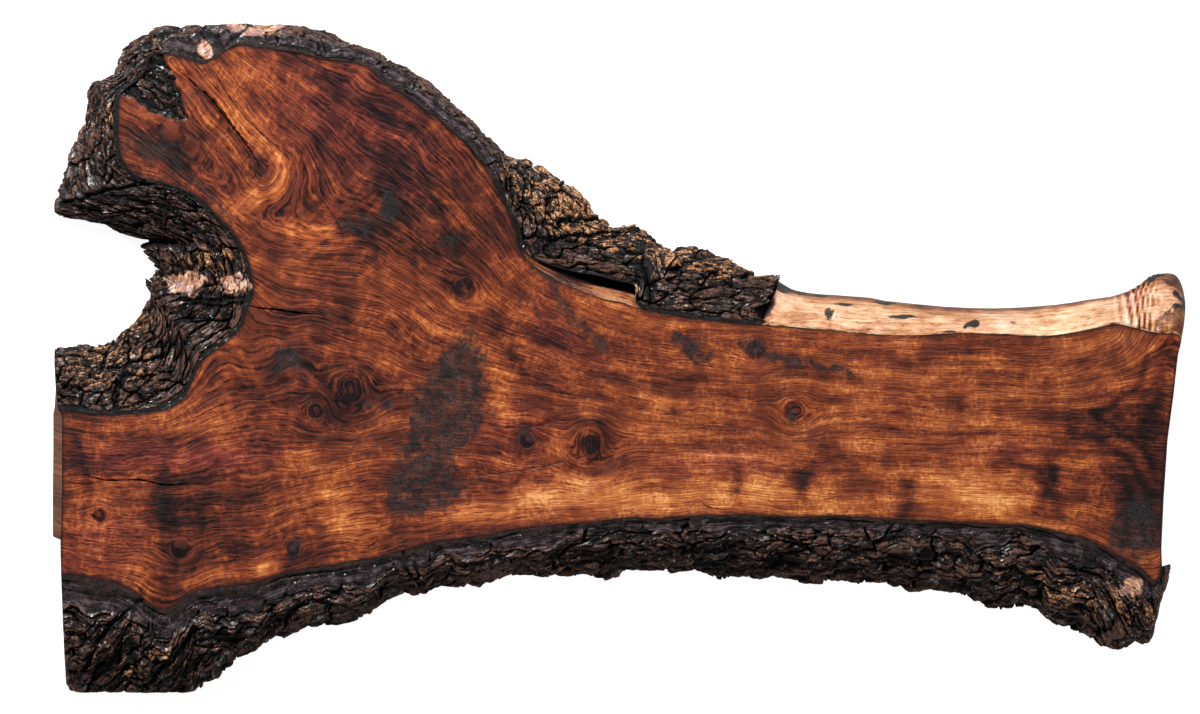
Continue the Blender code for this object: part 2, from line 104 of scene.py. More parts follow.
bellyStations = (
    (1161, 568, 1167, 566, 0.3, 0), (1160, 575, 1164, 588, 0.3, 0), (1157, 580, 1160, 612, 0.3, 0),
    (1152, 580, 1152, 640, 0.25, 0), (1144, 572, 1136, 642, 0.25, 0), (1134, 565, 1120, 646, 0.2, 0),
    (1120, 558, 1102, 641, 0.2, 0), (1104, 548, 1086, 632, 0.2, 0), (1086, 539, 1068, 628, 0.2, 0),
    (1065, 534, 1047, 620, 0.2, 0), (1045, 529, 1036, 608, 0.2, 0), (1022, 525, 1018, 606, 0.2, 0),
    (1000, 525, 998, 606, 0.2, 0), (980, 524, 976, 600, 0.2, 0), (962, 523, 957, 593, 0.2, 0),
    (940, 522, 938, 589, 0.2, 0), (903, 520, 899, 586, 0.18, 0), (888, 519, 886, 580, 0.18, 0),
    (870, 518, 868, 579, 0.18, 0), (830, 516, 829, 578, 0.18, 0), (812, 517, 812, 579, 0.18, 0),
    (795, 517, 794, 576, 0.18, 0), (742, 515, 742, 576, 0.18, 0), (718, 516, 718, 576, 0.18, 0),
    (700, 516, 700, 571, 0.18, 0), (655, 519, 655, 569, 0.2, 0), (630, 518, 633, 570, 0.2, 0),
    (605, 521, 608, 574, 0.2, 0), (585, 523, 588, 572, 0.22, 0), (563, 525, 568, 573, 0.25, 0),
    (540, 527, 545, 574, 0.28, 0), (515, 530, 520, 571, 0.3, 0), (495, 534, 500, 574, 0.3, 0),
    (475, 537, 483, 583, 0.32, 0), (455, 540, 463, 586, 0.35, 0), (437, 542, 442, 586, 0.35, 0),
    (415, 547, 421, 593, 0.35, 0), (395, 553, 399, 594, 0.35, 0), (375, 558, 380, 603, 0.35, 0),
    (355, 561, 362, 614, 0.35, 0), (335, 565, 345, 622, 0.35, 0), (295, 571, 300, 628, 0.35, 0),
    (280, 575, 282, 634, 0.35, 0), (265, 581, 266, 640, 0.35, 0), (250, 584, 253, 649, 0.3, 0),
    (230, 586, 236, 658, 0.3, 0), (210, 589, 222, 672, 0.3, 0), (193, 593, 205, 681, 0.3, 0),
    (180, 602, 191, 691, 0.28, 0), (165, 610, 170, 694, 0.28, 0), (150, 604, 148, 695, 0.25, 0),
    (135, 592, 125, 694, 0.25, 0), (117, 583, 103, 694, 0.25, 0), (95, 579, 83, 693, 0.24, 0),
    (75, 575, 69, 690, 0.24, 0), (61, 574, 64.5, 681, 0.24, 0),
)
forkedEnd = (
    (60.5, 556, 60.5, 556), (60.5, 540, 60.5, 540), (61, 537, 52, 537), (62, 490, 52, 490),
    (62, 450, 52.5, 450), (62, 416, 52.5, 414),
)


# Splits and ingrown bark on the face, in sketch units.
heartCheck = ((180, 71), (190, 80), (211, 99), (223, 114), (236, 131), (246, 144), (258, 162))
forkCheck = ((243, 304), (260, 308), (280, 310), (300, 313), (323, 314))
endCheck = ((62, 476), (85, 475), (105, 480), (140, 480), (165, 485), (188, 484), (212, 482))
# Each with its width, depth and darkness; the last ones are only hairlines.
splits = (
    (heartCheck, 0.0085, 0.01, 1.0), (forkCheck, 0.005, 0.01, 1.0), (endCheck, 0.0042, 0.008, 0.9),
    (((213, 62), (217, 76), (228, 95), (245, 117), (260, 132), (278, 148), (302, 172)), 0.005, 0.002, 0.85),
    (((302, 172), (322, 200), (340, 228), (346, 250)), 0.0034, 0.001, 0.55),
    (((216, 84), (226, 104), (243, 126), (256, 142)), 0.0036, 0.001, 0.5),
    (((196, 84), (214, 108), (236, 136), (250, 158)), 0.0036, 0.001, 0.5),
    (((66, 482), (84, 484), (104, 481)), 0.0036, 0.003, 0.8),
    (((478, 425), (520, 428), (552, 423)), 0.003, 0.001, 0.5),
    (((470, 477), (510, 472), (560, 463), (590, 456)), 0.0034, 0.001, 0.5),
    (((700, 500), (710, 508), (730, 510)), 0.004, 0.002, 0.6),
)
pocket = (
    (110, 84), (117, 94), (133, 100), (150, 113), (165, 118), (189, 121), (187, 108), (181, 90),
    (173, 74), (166, 60), (160, 50), (140, 50), (118, 70),
)


def plan(x, y):
    return np.stack([(np.asarray(x, float) - photo["middle"][0]) * unit,
                     (photo["middle"][1] - np.asarray(y, float)) * unit], axis=-1)


def sketchPlace(points):
    return points[..., 0] / unit + photo["middle"][0], photo["middle"][1] - points[..., 1] / unit


def smoothStep(value, low, high):
    share = np.clip((value - low) / (high - low), 0, 1)
    return share * share * (3 - 2 * share)


def valueNoise(x, y, seed, cells=64):
    grid = np.random.default_rng(slab["seed"] + seed).uniform(-1, 1, (cells, cells))
    column, row = np.floor(x).astype(int), np.floor(y).astype(int)
    across, down = smoothStep(x - column, 0, 1), smoothStep(y - row, 0, 1)

    def corner(i, j):
        return grid[(column + i) % cells, (row + j) % cells]

    left = corner(0, 0) * (1 - down) + corner(0, 1) * down
    right = corner(1, 0) * (1 - down) + corner(1, 1) * down
    return left * (1 - across) + right * across


def layeredNoise(x, y, size, seed, layers=3):
    total, weight = 0, 1
    for layer in range(layers):
        total = total + weight * valueNoise(x / size, y / size, seed + 7 * layer)
        size, weight = size * 0.5, weight * 0.5
    return total


def cellNoise(x, y, seed, cells=64):
    # Distance to the border between cells, each cell's own random number, and its tilt.
    jitter = np.random.default_rng(slab["seed"] + seed).random((cells, cells, 3))
    nearest, second = np.full(x.shape, np.inf), np.full(x.shape, np.inf)
    own, tilt = np.zeros(x.shape), np.zeros(x.shape)
    for i in (-1, 0, 1):
        for j in (-1, 0, 1):
            column, row = np.floor(x).astype(int) + i, np.floor(y).astype(int) + j
            cell = jitter[column % cells, row % cells]
            dx, dy = x - column - cell[..., 0], y - row - cell[..., 1]
            away = np.hypot(dx, dy)
            closer = away < nearest
            second = np.where(closer, nearest, np.minimum(second, away))
            own = np.where(closer, cell[..., 2], own)
            lean = 2 * math.pi * (cell[..., 2] * 7.31 % 1)
            tilt = np.where(closer, dx * np.cos(lean) + dy * np.sin(lean), tilt)
            nearest = np.where(closer, away, nearest)
    return second - nearest, own, tilt


def catmullRom(values, at):
    last = len(values) - 1
    span = np.clip(np.floor(at).astype(int), 0, last - 1)
    part = (at - span)[:, None]
    before, start = values[np.maximum(span - 1, 0)], values[span]
    end, after = values[span + 1], values[np.minimum(span + 2, last)]
    return 0.5 * (2 * start + (end - before) * part + (2 * before - 5 * start + 4 * end - after) * part**2
                  + (3 * start - before - 3 * end + after) * part**3)


def sampleStations(stations, step):
    table = np.array([(*station, 0, 0)[:6] for station in stations], float)
    table = np.hstack([plan(table[:, 0], table[:, 1]), plan(table[:, 2], table[:, 3]), table[:, 4:]])
    straight = len(stations) < 8
    fine = np.linspace(0, len(table) - 1, 24 * (len(table) - 1) + 1 if straight else 24 * len(table))
    if straight:
        table = np.column_stack([np.interp(fine, range(len(table)), column) for column in table.T])
        fine = np.arange(len(table))
    route = catmullRom(table, fine)
    middle = 0.4 * route[:, :2] + 0.6 * route[:, 2:4]
    run = np.concatenate([[0], np.cumsum(np.linalg.norm(np.diff(middle, axis=0), axis=1))])
    at = np.interp(np.linspace(0, run[-1], int(run[-1] / step) + 1), run, fine)
    table = catmullRom(table, at)
    return table[:, :2], table[:, 2:4], np.interp(at, fine, run), table[:, 4:]


def distanceToLine(points, x, y):
    best, along, run = np.full(np.shape(x), np.inf), np.zeros(np.shape(x)), 0.0
    for (ax, ay), (bx, by) in zip(points, points[1:]):
        dx, dy = bx - ax, by - ay
        length = math.hypot(dx, dy)
        share = np.clip(((x - ax) * dx + (y - ay) * dy) / length**2, 0, 1)
        away = np.hypot(x - ax - share * dx, y - ay - share * dy)
        along = np.where(away < best, run + share * length, along)
        best = np.minimum(best, away)
        run += length
    return best, along / run


def edgeTree(outline):
    tree = KDTree(len(outline))
    for index, point in enumerate(outline):
        tree.insert((point[0], point[1], 0), index)
    tree.balance()
    return tree


def distanceToEdge(outline, x, y):
    tree = edgeTree(outline)
    return np.array([tree.find((px, py, 0))[2] for px, py in zip(x, y)])


def insidePolygon(corners, x, y):
    inside = np.zeros(x.shape, bool)
    for (ax, ay), (bx, by) in zip(corners, np.roll(corners, -1, axis=0)):
        if ay != by:
            inside ^= ((ay > y) != (by > y)) & (x < (bx - ax) * (y - ay) / (by - ay) + ax)
    return inside


def spots(table, x, y):
    # Soft oval patches: middle, half length, half width, angle in degrees, strength.
    total = np.zeros(x.shape)
    for middleX, middleY, long, short, angle, strength in table:
        turn = math.radians(angle)
        dx, dy = x - middleX, middleY - y
        far = ((dx * math.cos(turn) + dy * math.sin(turn)) / long) ** 2
        far = far + ((dy * math.cos(turn) - dx * math.sin(turn)) / short) ** 2
        total += strength * np.exp(-far * 1.2 * np.minimum(1 + 0.25 * far, 4))
    return total


def makeObject(name, points, faces, materials):
    mesh = bpy.data.meshes.new(name)
    mesh.from_pydata(points.tolist(), [], faces)
    mesh.update()
    for material in materials:
        mesh.materials.append(material)
    mesh.shade_smooth()
    thing = bpy.data.objects.new(name, mesh)
    bpy.context.scene.collection.objects.link(thing)
    return thing


def addValues(thing, name, values):
    kind, key = ("FLOAT", "value") if values.ndim == 1 else ("FLOAT_VECTOR", "vector")
    attribute = thing.data.attributes.new(name, kind, "POINT")
    attribute.data.foreach_set(key, np.ascontiguousarray(values, np.float32).ravel())


def setBakeMap(thing, corners):
    layer = thing.data.uv_layers.new(name="OFBake")
    layer.data.foreach_set("uv", np.ascontiguousarray(corners, np.float32).ravel())


def laneMap(count, size, lanes, box):
    # A long strip of quads cut into lanes that lie one above the other in the box (left, low, right, high).
    left, low, right, high = box
    perLane = math.ceil(count / lanes)
    lane = np.arange(count) // perLane
    u = left + (right - left) * (np.arange(count) - lane * perLane)[:, None] / perLane
    tall = (high - low) / lanes
    v = low + tall * lane[:, None] + 0.94 * tall * np.arange(size)[None] / size
    wide, row = (right - left) / perLane * (1 - 0.02), 0.94 * tall / size
    return u, v, wide, row


def quadCorners(u, v, wide, row, turns):
    return [np.stack([u + i * wide + 0 * v, v + j * row], axis=-1) for i, j in turns]


# The camera looks straight down, as the photograph does.
view = {"height": 30.0, "sensor": 36.0}


def setCamera(shift):
    camera = bpy.data.objects.new("camera", bpy.data.cameras.new("camera"))
    bpy.context.scene.collection.objects.link(camera)
    spot = plan(*photo["frameMiddle"]) + shift
    camera.location = (spot[0], spot[1], view["height"])
    camera.data.sensor_width = view["sensor"]
    seen = photo["frameWidth"] * unit
    camera.data.lens = view["sensor"] * (view["height"] - top) / seen
    camera.data.clip_end = 80
    bpy.context.scene.camera = camera


# Soft studio light: a broad key from the upper left, a weaker fill, a rim light and a pale world.
studio = {
    "horizon": 0.15, "zenith": 0.03, "fade": (0.15, 0.95), "worldColour": (1.0, 0.99, 0.97),
    "key": ((-2.4, 2.8, 3.0), 0.9, 330.0), "fill": ((3.4, -1.8, 2.4), 1.8, 75.0),
    "rim": ((1.4, 3.8, 1.5), 1.0, 60.0), "floorShade": 0.35, "floorGlow": 0.92,
}


def setLights():
    world = bpy.data.worlds.new("studio")
    bpy.context.scene.world = world
    world.use_nodes = True
    background = world.node_tree.nodes["Background"]
    background.inputs["Color"].default_value = (*studio["worldColour"], 1)
    tree = world.node_tree
    height = separate(tree, tree.nodes.new("ShaderNodeTexCoord").outputs["Generated"])[2]
    glow = rangeOf(tree, height, *studio["fade"], studio["horizon"], studio["zenith"])
    feed(tree, background.inputs["Strength"], glow)
    for name in ("key", "fill", "rim"):
        place, size, power = studio[name]
        lamp = bpy.data.lights.new(name, "AREA")
        lamp.size, lamp.energy = size, power
        thing = bpy.data.objects.new(name, lamp)
        thing.location = place
        thing.rotation_euler = (-Vector(place)).to_track_quat("-Z", "Y").to_euler()
        bpy.context.scene.collection.objects.link(thing)
    bpy.context.scene.view_settings.view_transform = "Standard"


def layFloor():
    reach, down = 40.0, -0.0005  # just under the slab
    corners = ((-1, -1), (1, -1), (1, 1), (-1, 1))
    points = np.array([(reach * x, reach * y, down) for x, y in corners])
    material, tree, shader = newMaterial("pale floor", roughness=0.9)
    shade = studio["floorShade"]
    shader.inputs["Base Color"].default_value = (shade, shade, shade, 1)
    # The floor glows for the camera only, so it stays white and throws no glare up at the bark.
    seen = tree.nodes.new("ShaderNodeLightPath").outputs["Is Camera Ray"]
    feed(tree, shader.inputs["Emission Color"], mixColours(tree, seen, (0.0, 0.0, 0.0), (1.0, 1.0, 1.0)))
    shader.inputs["Emission Strength"].default_value = studio["floorGlow"]
    makeObject("floor", points, [(0, 1, 2, 3)], [material])


def newMaterial(name, roughness=0.5, specular=0.5, coatRoughness=0.15):
    material = bpy.data.materials.new(name)
    material.use_nodes = True
    shader = material.node_tree.nodes["Principled BSDF"]
    shader.inputs["Roughness"].default_value = roughness
    shader.inputs["Specular IOR Level"].default_value = specular
    shader.inputs["Coat Roughness"].default_value = coatRoughness
    return material, material.node_tree, shader


def newGroup(name, inputs, outputs):
    tree = bpy.data.node_groups.new(name, "ShaderNodeTree")
    for label, kind in inputs:
        tree.interface.new_socket(label, in_out="INPUT", socket_type=kind)
    for label, kind in outputs:
        tree.interface.new_socket(label, in_out="OUTPUT", socket_type=kind)
    return tree, tree.nodes.new("NodeGroupInput").outputs, tree.nodes.new("NodeGroupOutput").inputs


def feed(tree, socket, value):
    if isinstance(value, bpy.types.NodeSocket):
        tree.links.new(value, socket)
    elif isinstance(value, tuple) and socket.type == "RGBA":
        socket.default_value = (*value, 1)
    else:
        socket.default_value = value


def calc(tree, operation, *values):
    node = tree.nodes.new("ShaderNodeMath")
    node.operation = operation
    for socket, value in zip(node.inputs, values):
        feed(tree, socket, value)
    return node.outputs[0]


def times(tree, first, second):
    return calc(tree, "MULTIPLY", first, second)


def addUp(tree, *terms):
    # Each term is (socket, weight); a plain number is a constant.
    total = 0.0
    for term in terms:
        if isinstance(term, tuple):
            total = calc(tree, "MULTIPLY_ADD", term[0], term[1], total)
        else:
            total = calc(tree, "ADD", total, term)
    return total


def mixColours(tree, factor, first, second, mode="MIX"):
    node = tree.nodes.new("ShaderNodeMix")
    node.data_type, node.blend_type = "RGBA", mode
    feed(tree, node.inputs[0], factor)
    feed(tree, node.inputs[6], first)
    feed(tree, node.inputs[7], second)
    return node.outputs[2]


def rangeOf(tree, value, low, high, toLow=0.0, toHigh=1.0):
    node = tree.nodes.new("ShaderNodeMapRange")
    node.interpolation_type = "SMOOTHSTEP"
    for socket, number in zip(node.inputs, (value, low, high, toLow, toHigh)):
        feed(tree, socket, number)
    return node.outputs[0]


def ramp(tree, value, stops):
    node = tree.nodes.new("ShaderNodeValToRGB")
    while len(node.color_ramp.elements) < len(stops):
        node.color_ramp.elements.new(0.5)
    for element, (position, colour) in zip(node.color_ramp.elements, stops):
        element.position, element.color = position, (*colour, 1)
    feed(tree, node.inputs[0], value)
    return node.outputs[0]


def combine(tree, x, y, z=0.0):
    node = tree.nodes.new("ShaderNodeCombineXYZ")
    for socket, value in zip(node.inputs, (x, y, z)):
        feed(tree, socket, value)
    return node.outputs[0]


def separate(tree, vector):
    node = tree.nodes.new("ShaderNodeSeparateXYZ")
    feed(tree, node.inputs[0], vector)
    return node.outputs


def readValues(tree, name, output="Vector"):
    node = tree.nodes.new("ShaderNodeAttribute")
    node.attribute_name = name
    return node.outputs[output]


def noise(tree, vector, scale, detail=2.0, roughness=0.5, distortion=0.0):
    node = tree.nodes.new("ShaderNodeTexNoise")
    for label, value in (("Vector", vector), ("Scale", scale), ("Detail", detail),
                         ("Roughness", roughness), ("Distortion", distortion)):
        feed(tree, node.inputs[label], value)
    return node.outputs["Fac"]


def chips(tree, vector):
    # A random value for each small angular chip.
    node = tree.nodes.new("ShaderNodeTexVoronoi")
    node.inputs["Scale"].default_value = 1.0
    feed(tree, node.inputs["Vector"], vector)
    return separate(tree, node.outputs["Color"])[0]


def bump(tree, height, strength, distance):
    node = tree.nodes.new("ShaderNodeBump")
    for label, value in (("Height", height), ("Strength", strength), ("Distance", distance)):
        feed(tree, node.inputs[label], value)
    return node.outputs[0]


def useGroup(tree, group, **values):
    node = tree.nodes.new("ShaderNodeGroup")
    node.node_tree = group
    for label, value in values.items():
        feed(tree, node.inputs[label], value)
    return node.outputs


def objectPlace(tree):
    return tree.nodes.new("ShaderNodeTexCoord").outputs["Object"]


def makeWoodGrain():
    # Streaks along the fibres: Along and Across are metres with and across the grain.
    tree, given, result = newGroup(
        "wood grain",
        [("Along", "NodeSocketFloat"), ("Across", "NodeSocketFloat"), ("Place", "NodeSocketVector")],
        [(label, "NodeSocketFloat") for label in ("Bands", "Lines", "Fibres", "Pores", "Curl")])
    along, across, place = given["Along"], given["Across"], given["Place"]
    wide, close = noise(tree, place, 9, 2, 0.5), noise(tree, place, 75, 2, 0.55)
    across = addUp(tree, (wide, 0.020), (close, 0.0044), (across, 1.0), -0.012)

    def streak(perAlong, perAcross, detail, lift=0.0, low=0.34, high=0.66):
        spot = combine(tree, times(tree, along, perAlong), times(tree, across, perAcross), lift)
        return rangeOf(tree, noise(tree, spot, 1, detail, 0.6), low, high)

    feed(tree, result["Bands"], streak(4.5, 30, 5, 0.0, 0.28, 0.72))
    feed(tree, result["Lines"], streak(8, 230, 2, 3.0, 0.32, 0.68))
    feed(tree, result["Fibres"], streak(36, 420, 2, 6.0, 0.34, 0.66))
    feed(tree, result["Pores"], streak(70, 480, 1, 9.0, 0.56, 0.68))
    feed(tree, result["Curl"], streak(150, 60, 2, 12.0, 0.32, 0.68))
    return tree


barkSkin = {
    "body": ((0.0, (0.0006, 0.0005, 0.0005)), (0.46, (0.0022, 0.0017, 0.0018)),
             (0.74, (0.0150, 0.0080, 0.0072)), (1.0, (0.105, 0.050, 0.034))),
    "tan": ((0.10, 0.036, 0.018), (0.62, 0.31, 0.135)),
    # The rim's lightest stops show on the shoulder's painted highlight.
    "rim": ((0.10, (0.0010, 0.0008, 0.0010)), (0.46, (0.0064, 0.0046, 0.0060)),
            (0.70, (0.031, 0.021, 0.025)), (0.95, (0.120, 0.086, 0.094))),
    "browned": (0.034, 0.017, 0.013),
    "inner": ((0.08, (0.035, 0.012, 0.009)), (0.28, (0.22, 0.085, 0.050)),
              (0.50, (0.56, 0.28, 0.17)), (0.80, (0.88, 0.60, 0.42))),
    "mauve": (0.26, 0.17, 0.21),
}


def makeCrust():
    # Weathered bark skin: Relief is 0 in a fissure and 1 on a ridge, Rub is where ridges are worn to tan.
    # The colour darkens towards the fissures, partly the bark's own colour and partly painted shade.
    tree, given, result = newGroup(
        "bark crust",
        [("Place", "NodeSocketVector"), ("Spot", "NodeSocketVector"), ("Relief", "NodeSocketFloat"),
         ("Rub", "NodeSocketFloat")],
        [("Colour", "NodeSocketColor"), ("Roughness", "NodeSocketFloat"), ("Height", "NodeSocketFloat")])
    place = given["Place"]
    coarse, fine = noise(tree, place, 55, 4, 0.6), noise(tree, place, 300, 3, 0.65)
    grit, chip = noise(tree, place, 900, 2, 0.6), chips(tree, given["Spot"])
    level = addUp(tree, (given["Relief"], 1.0), (coarse, 0.5), (fine, 0.35), (chip, 0.55), -0.74)
    body = ramp(tree, level, barkSkin["body"])
    worn = addUp(tree, (level, 1.0), (given["Rub"], 0.50), (grit, 0.7), -0.35)
    worn = times(tree, rangeOf(tree, worn, 1.15, 1.27), rangeOf(tree, given["Rub"], 0.10, 0.5))
    tan = mixColours(tree, rangeOf(tree, fine, 0.40, 0.62), *barkSkin["tan"])
    feed(tree, result["Colour"], mixColours(tree, worn, body, tan))
    deep = rangeOf(tree, level, 0.3, 0.75, 0.40, 0.0)
    feed(tree, result["Roughness"], addUp(tree, (coarse, 0.35), (fine, 0.40), (deep, 1.0), -0.06))
    feed(tree, result["Height"], addUp(tree, (fine, 0.6), (grit, 0.3), (coarse, 0.5), (chip, 0.9)))
    return tree


oil = {
    "stops": ((0.00, (0.008, 0.004, 0.004)), (0.20, (0.045, 0.011, 0.0075)), (0.42, (0.150, 0.030, 0.013)),
              (0.60, (0.310, 0.073, 0.021)), (0.78, (0.530, 0.165, 0.044)), (1.00, (0.82, 0.39, 0.13))),
    "bands": 0.27, "lines": 0.20, "fibres": 0.19, "pores": 0.24, "curl": 0.19, "cloud": 0.44,
    "coreDark": 0.24, "ringPitch": 15.0, "ringDark": 0.05, "reddening": (0.92, 0.78, 1.55),
    "stain": ((0.0016, 0.0017, 0.0024), (0.037, 0.032, 0.034)), "stainDip": (0.45, 0.42, 0.45),
    "edge": (0.006, 0.004, 0.004), "split": (0.002, 0.0015, 0.0015),
}


def makeOiledFace(grain, crust):
    material, tree, shader = newMaterial("oiled walnut face", specular=0.28, coatRoughness=0.22)
    along, across, knot = separate(tree, readValues(tree, "grain"))
    tone, red, sootAndShade = separate(tree, readValues(tree, "tone"))
    split, bark, edge = separate(tree, readValues(tree, "damageAndEdgeShade"))
    place = objectPlace(tree)
    x, y, _ = separate(tree, place)
    streaks = useGroup(tree, grain, Along=along, Across=across, Place=place)
    cloud = noise(tree, place, 24, 6, 0.66)

    ring = addUp(tree, (knot, 1.0), (noise(tree, place, 70, 2), 0.9))
    ring = calc(tree, "SINE", times(tree, ring, oil["ringPitch"]))
    nearKnot = rangeOf(tree, knot, 0.9, 1.8, 1.0, 0.0)
    core = times(tree, rangeOf(tree, knot, 0.10, 0.50, 0.30, 1.0),
                rangeOf(tree, knot, 0.50, 1.05, 1.0, 0.0))
    middle = sum(oil[key] for key in ("bands", "lines", "fibres", "curl", "cloud")) / 2
    level = addUp(tree, (tone, 1.0), (streaks["Bands"], oil["bands"]), (streaks["Lines"], oil["lines"]),
                  (streaks["Fibres"], oil["fibres"]), (streaks["Pores"], -oil["pores"]),
                  (times(tree, streaks["Curl"], rangeOf(tree, cloud, 0.40, 0.60)), oil["curl"]),
                  (cloud, oil["cloud"]), -middle)
    ring = times(tree, ring, nearKnot)
    level = addUp(tree, (level, 1.0), (ring, oil["ringDark"]), (core, -oil["coreDark"]))
    colour = ramp(tree, level, oil["stops"])
    colour = mixColours(tree, red, colour, oil["reddening"], "MULTIPLY")
    blotAndShade = addUp(tree, (sootAndShade, 1.0), (noise(tree, place, 62, 5, 0.68), 1.5), (streaks["Lines"], 0.20), -0.88)
    blotAndShade = times(tree, rangeOf(tree, blotAndShade, 0.14, 0.50), rangeOf(tree, sootAndShade, 0.02, 0.2))
    ash = mixColours(tree, rangeOf(tree, noise(tree, place, 110, 7, 0.80, 2.2), 0.43, 0.60), *oil["stain"])
    dip = rangeOf(tree, noise(tree, place, 38, 3, 0.6), 0.42, 0.58)
    ash = mixColours(tree, dip, ash, oil["stainDip"], "MULTIPLY")
    veil = rangeOf(tree, noise(tree, place, 60, 5, 0.75), 0.38, 0.62, 0.98, 0.50)
    colour = mixColours(tree, times(tree, blotAndShade, veil), colour, ash)
    # A painted shade line along the face's edge, where it meets the bark and the side.
    colour = mixColours(tree, edge, colour, oil["edge"])

    spot = combine(tree, addUp(tree, (x, 130), (y, -90)), addUp(tree, (x, 170), (y, 250)))
    skin = useGroup(tree, crust, Place=place, Spot=spot, Relief=readValues(tree, "relief", "Fac"), Rub=0.1)
    colour = mixColours(tree, bark, colour, skin["Colour"])
    colour = mixColours(tree, split, colour, oil["split"])
    feed(tree, shader.inputs["Base Color"], colour)
    dull = addUp(tree, (streaks["Fibres"], 0.16), (blotAndShade, 0.14), 0.32)
    rougher = times(tree, bark, calc(tree, "SUBTRACT", skin["Roughness"], dull))
    dull = addUp(tree, (dull, 1.0), (rougher, 1.0))
    feed(tree, shader.inputs["Roughness"], dull)
    feed(tree, shader.inputs["Coat Weight"], addUp(tree, (split, 0.6), (bark, 0.2), 0.08))
    height = addUp(tree, (streaks["Lines"], 0.3), (streaks["Fibres"], 0.3), (streaks["Pores"], -0.5),
                   (times(tree, skin["Height"], bark), 8.0))
    feed(tree, shader.inputs["Normal"], bump(tree, height, 0.5, 0.0004))
    return material


paleWood = {
    "stops": ((0.0, (0.030, 0.009, 0.005)), (0.22, (0.19, 0.060, 0.022)), (0.42, (0.50, 0.21, 0.080)),
              (0.60, (0.76, 0.48, 0.27)), (0.82, (0.96, 0.78, 0.58))),
    "mauve": (0.86, 0.64, 0.72), "hollowShade": (0.72, 0.50, 0.58), "markAndShade": (0.016, 0.008, 0.007),
}


def makeSapwood(grain):
    material, tree, shader = newMaterial("bare sapwood", specular=0.4, coatRoughness=0.2)
    along, across, _ = separate(tree, readValues(tree, "grain"))
    crest = readValues(tree, "relief", "Fac")
    tone, red, sootAndShade = separate(tree, readValues(tree, "tone"))
    place = objectPlace(tree)
    streaks = useGroup(tree, grain, Along=along, Across=across, Place=place)
    # Painted light on the ripples' crests and painted shade, with a mauve tint, in their hollows.
    level = addUp(tree, (tone, 1.0), (streaks["Bands"], 0.20), (streaks["Lines"], 0.16),
                  (streaks["Fibres"], 0.10), (streaks["Pores"], -0.14),
                  (noise(tree, place, 40, 4, 0.6), 0.55), (crest, 0.60), -0.80)
    colour = ramp(tree, level, paleWood["stops"])
    colour = mixColours(tree, red, colour, paleWood["mauve"], "MULTIPLY")
    colour = mixColours(tree, rangeOf(tree, crest, 0.42, 0.08), colour, paleWood["hollowShade"], "MULTIPLY")
    # The sapwood's real marks and the painted shade under the lifted bark both take the dark mark colour.
    blotAndShade = rangeOf(tree, addUp(tree, (sootAndShade, 1.0), (noise(tree, place, 260, 3, 0.6), 0.5), -0.25), 0.18, 0.5)
    colour = mixColours(tree, blotAndShade, colour, paleWood["markAndShade"])
    feed(tree, shader.inputs["Base Color"], colour)
    feed(tree, shader.inputs["Roughness"], addUp(tree, (streaks["Lines"], 0.3), 0.22))
    feed(tree, shader.inputs["Coat Weight"], addUp(tree, (streaks["Bands"], 0.2), 0.05))
    height = addUp(tree, (streaks["Lines"], 1.0), (streaks["Fibres"], 0.5), (blotAndShade, -1.2))
    feed(tree, shader.inputs["Normal"], bump(tree, height, 0.7, 0.0014))
    return material


sawnWood = {
    "stops": ((0.0, (0.020, 0.010, 0.008)), (0.35, (0.10, 0.036, 0.019)),
              (0.65, (0.21, 0.085, 0.042)), (1.0, (0.34, 0.17, 0.09))),
    "kerf": (0.05, 0.025, 0.018),
}


def makeSawnWood(grain):
    material, tree, shader = newMaterial("sawn walnut", specular=0.4)
    x, y, z = separate(tree, objectPlace(tree))
    streaks = useGroup(tree, grain, Along=calc(tree, "ADD", x, times(tree, z, 0.3)),
                       Across=addUp(tree, (y, 0.8), (z, 1.0)), Place=objectPlace(tree))
    level = addUp(tree, (streaks["Bands"], 0.4), (streaks["Lines"], 0.25), (streaks["Pores"], -0.12), 0.12)
    colour = ramp(tree, level, sawnWood["stops"])
    marks = noise(tree, combine(tree, times(tree, x, 4), times(tree, y, 4), times(tree, z, 260)), 1, 2)
    colour = mixColours(tree, times(tree, marks, 0.35), colour, sawnWood["kerf"])
    feed(tree, shader.inputs["Base Color"], colour)
    feed(tree, shader.inputs["Roughness"], addUp(tree, (marks, 0.25), 0.42))
    height = addUp(tree, (marks, 1.0), (streaks["Lines"], 0.4))
    feed(tree, shader.inputs["Normal"], bump(tree, height, 0.5, 0.0008))
    return material


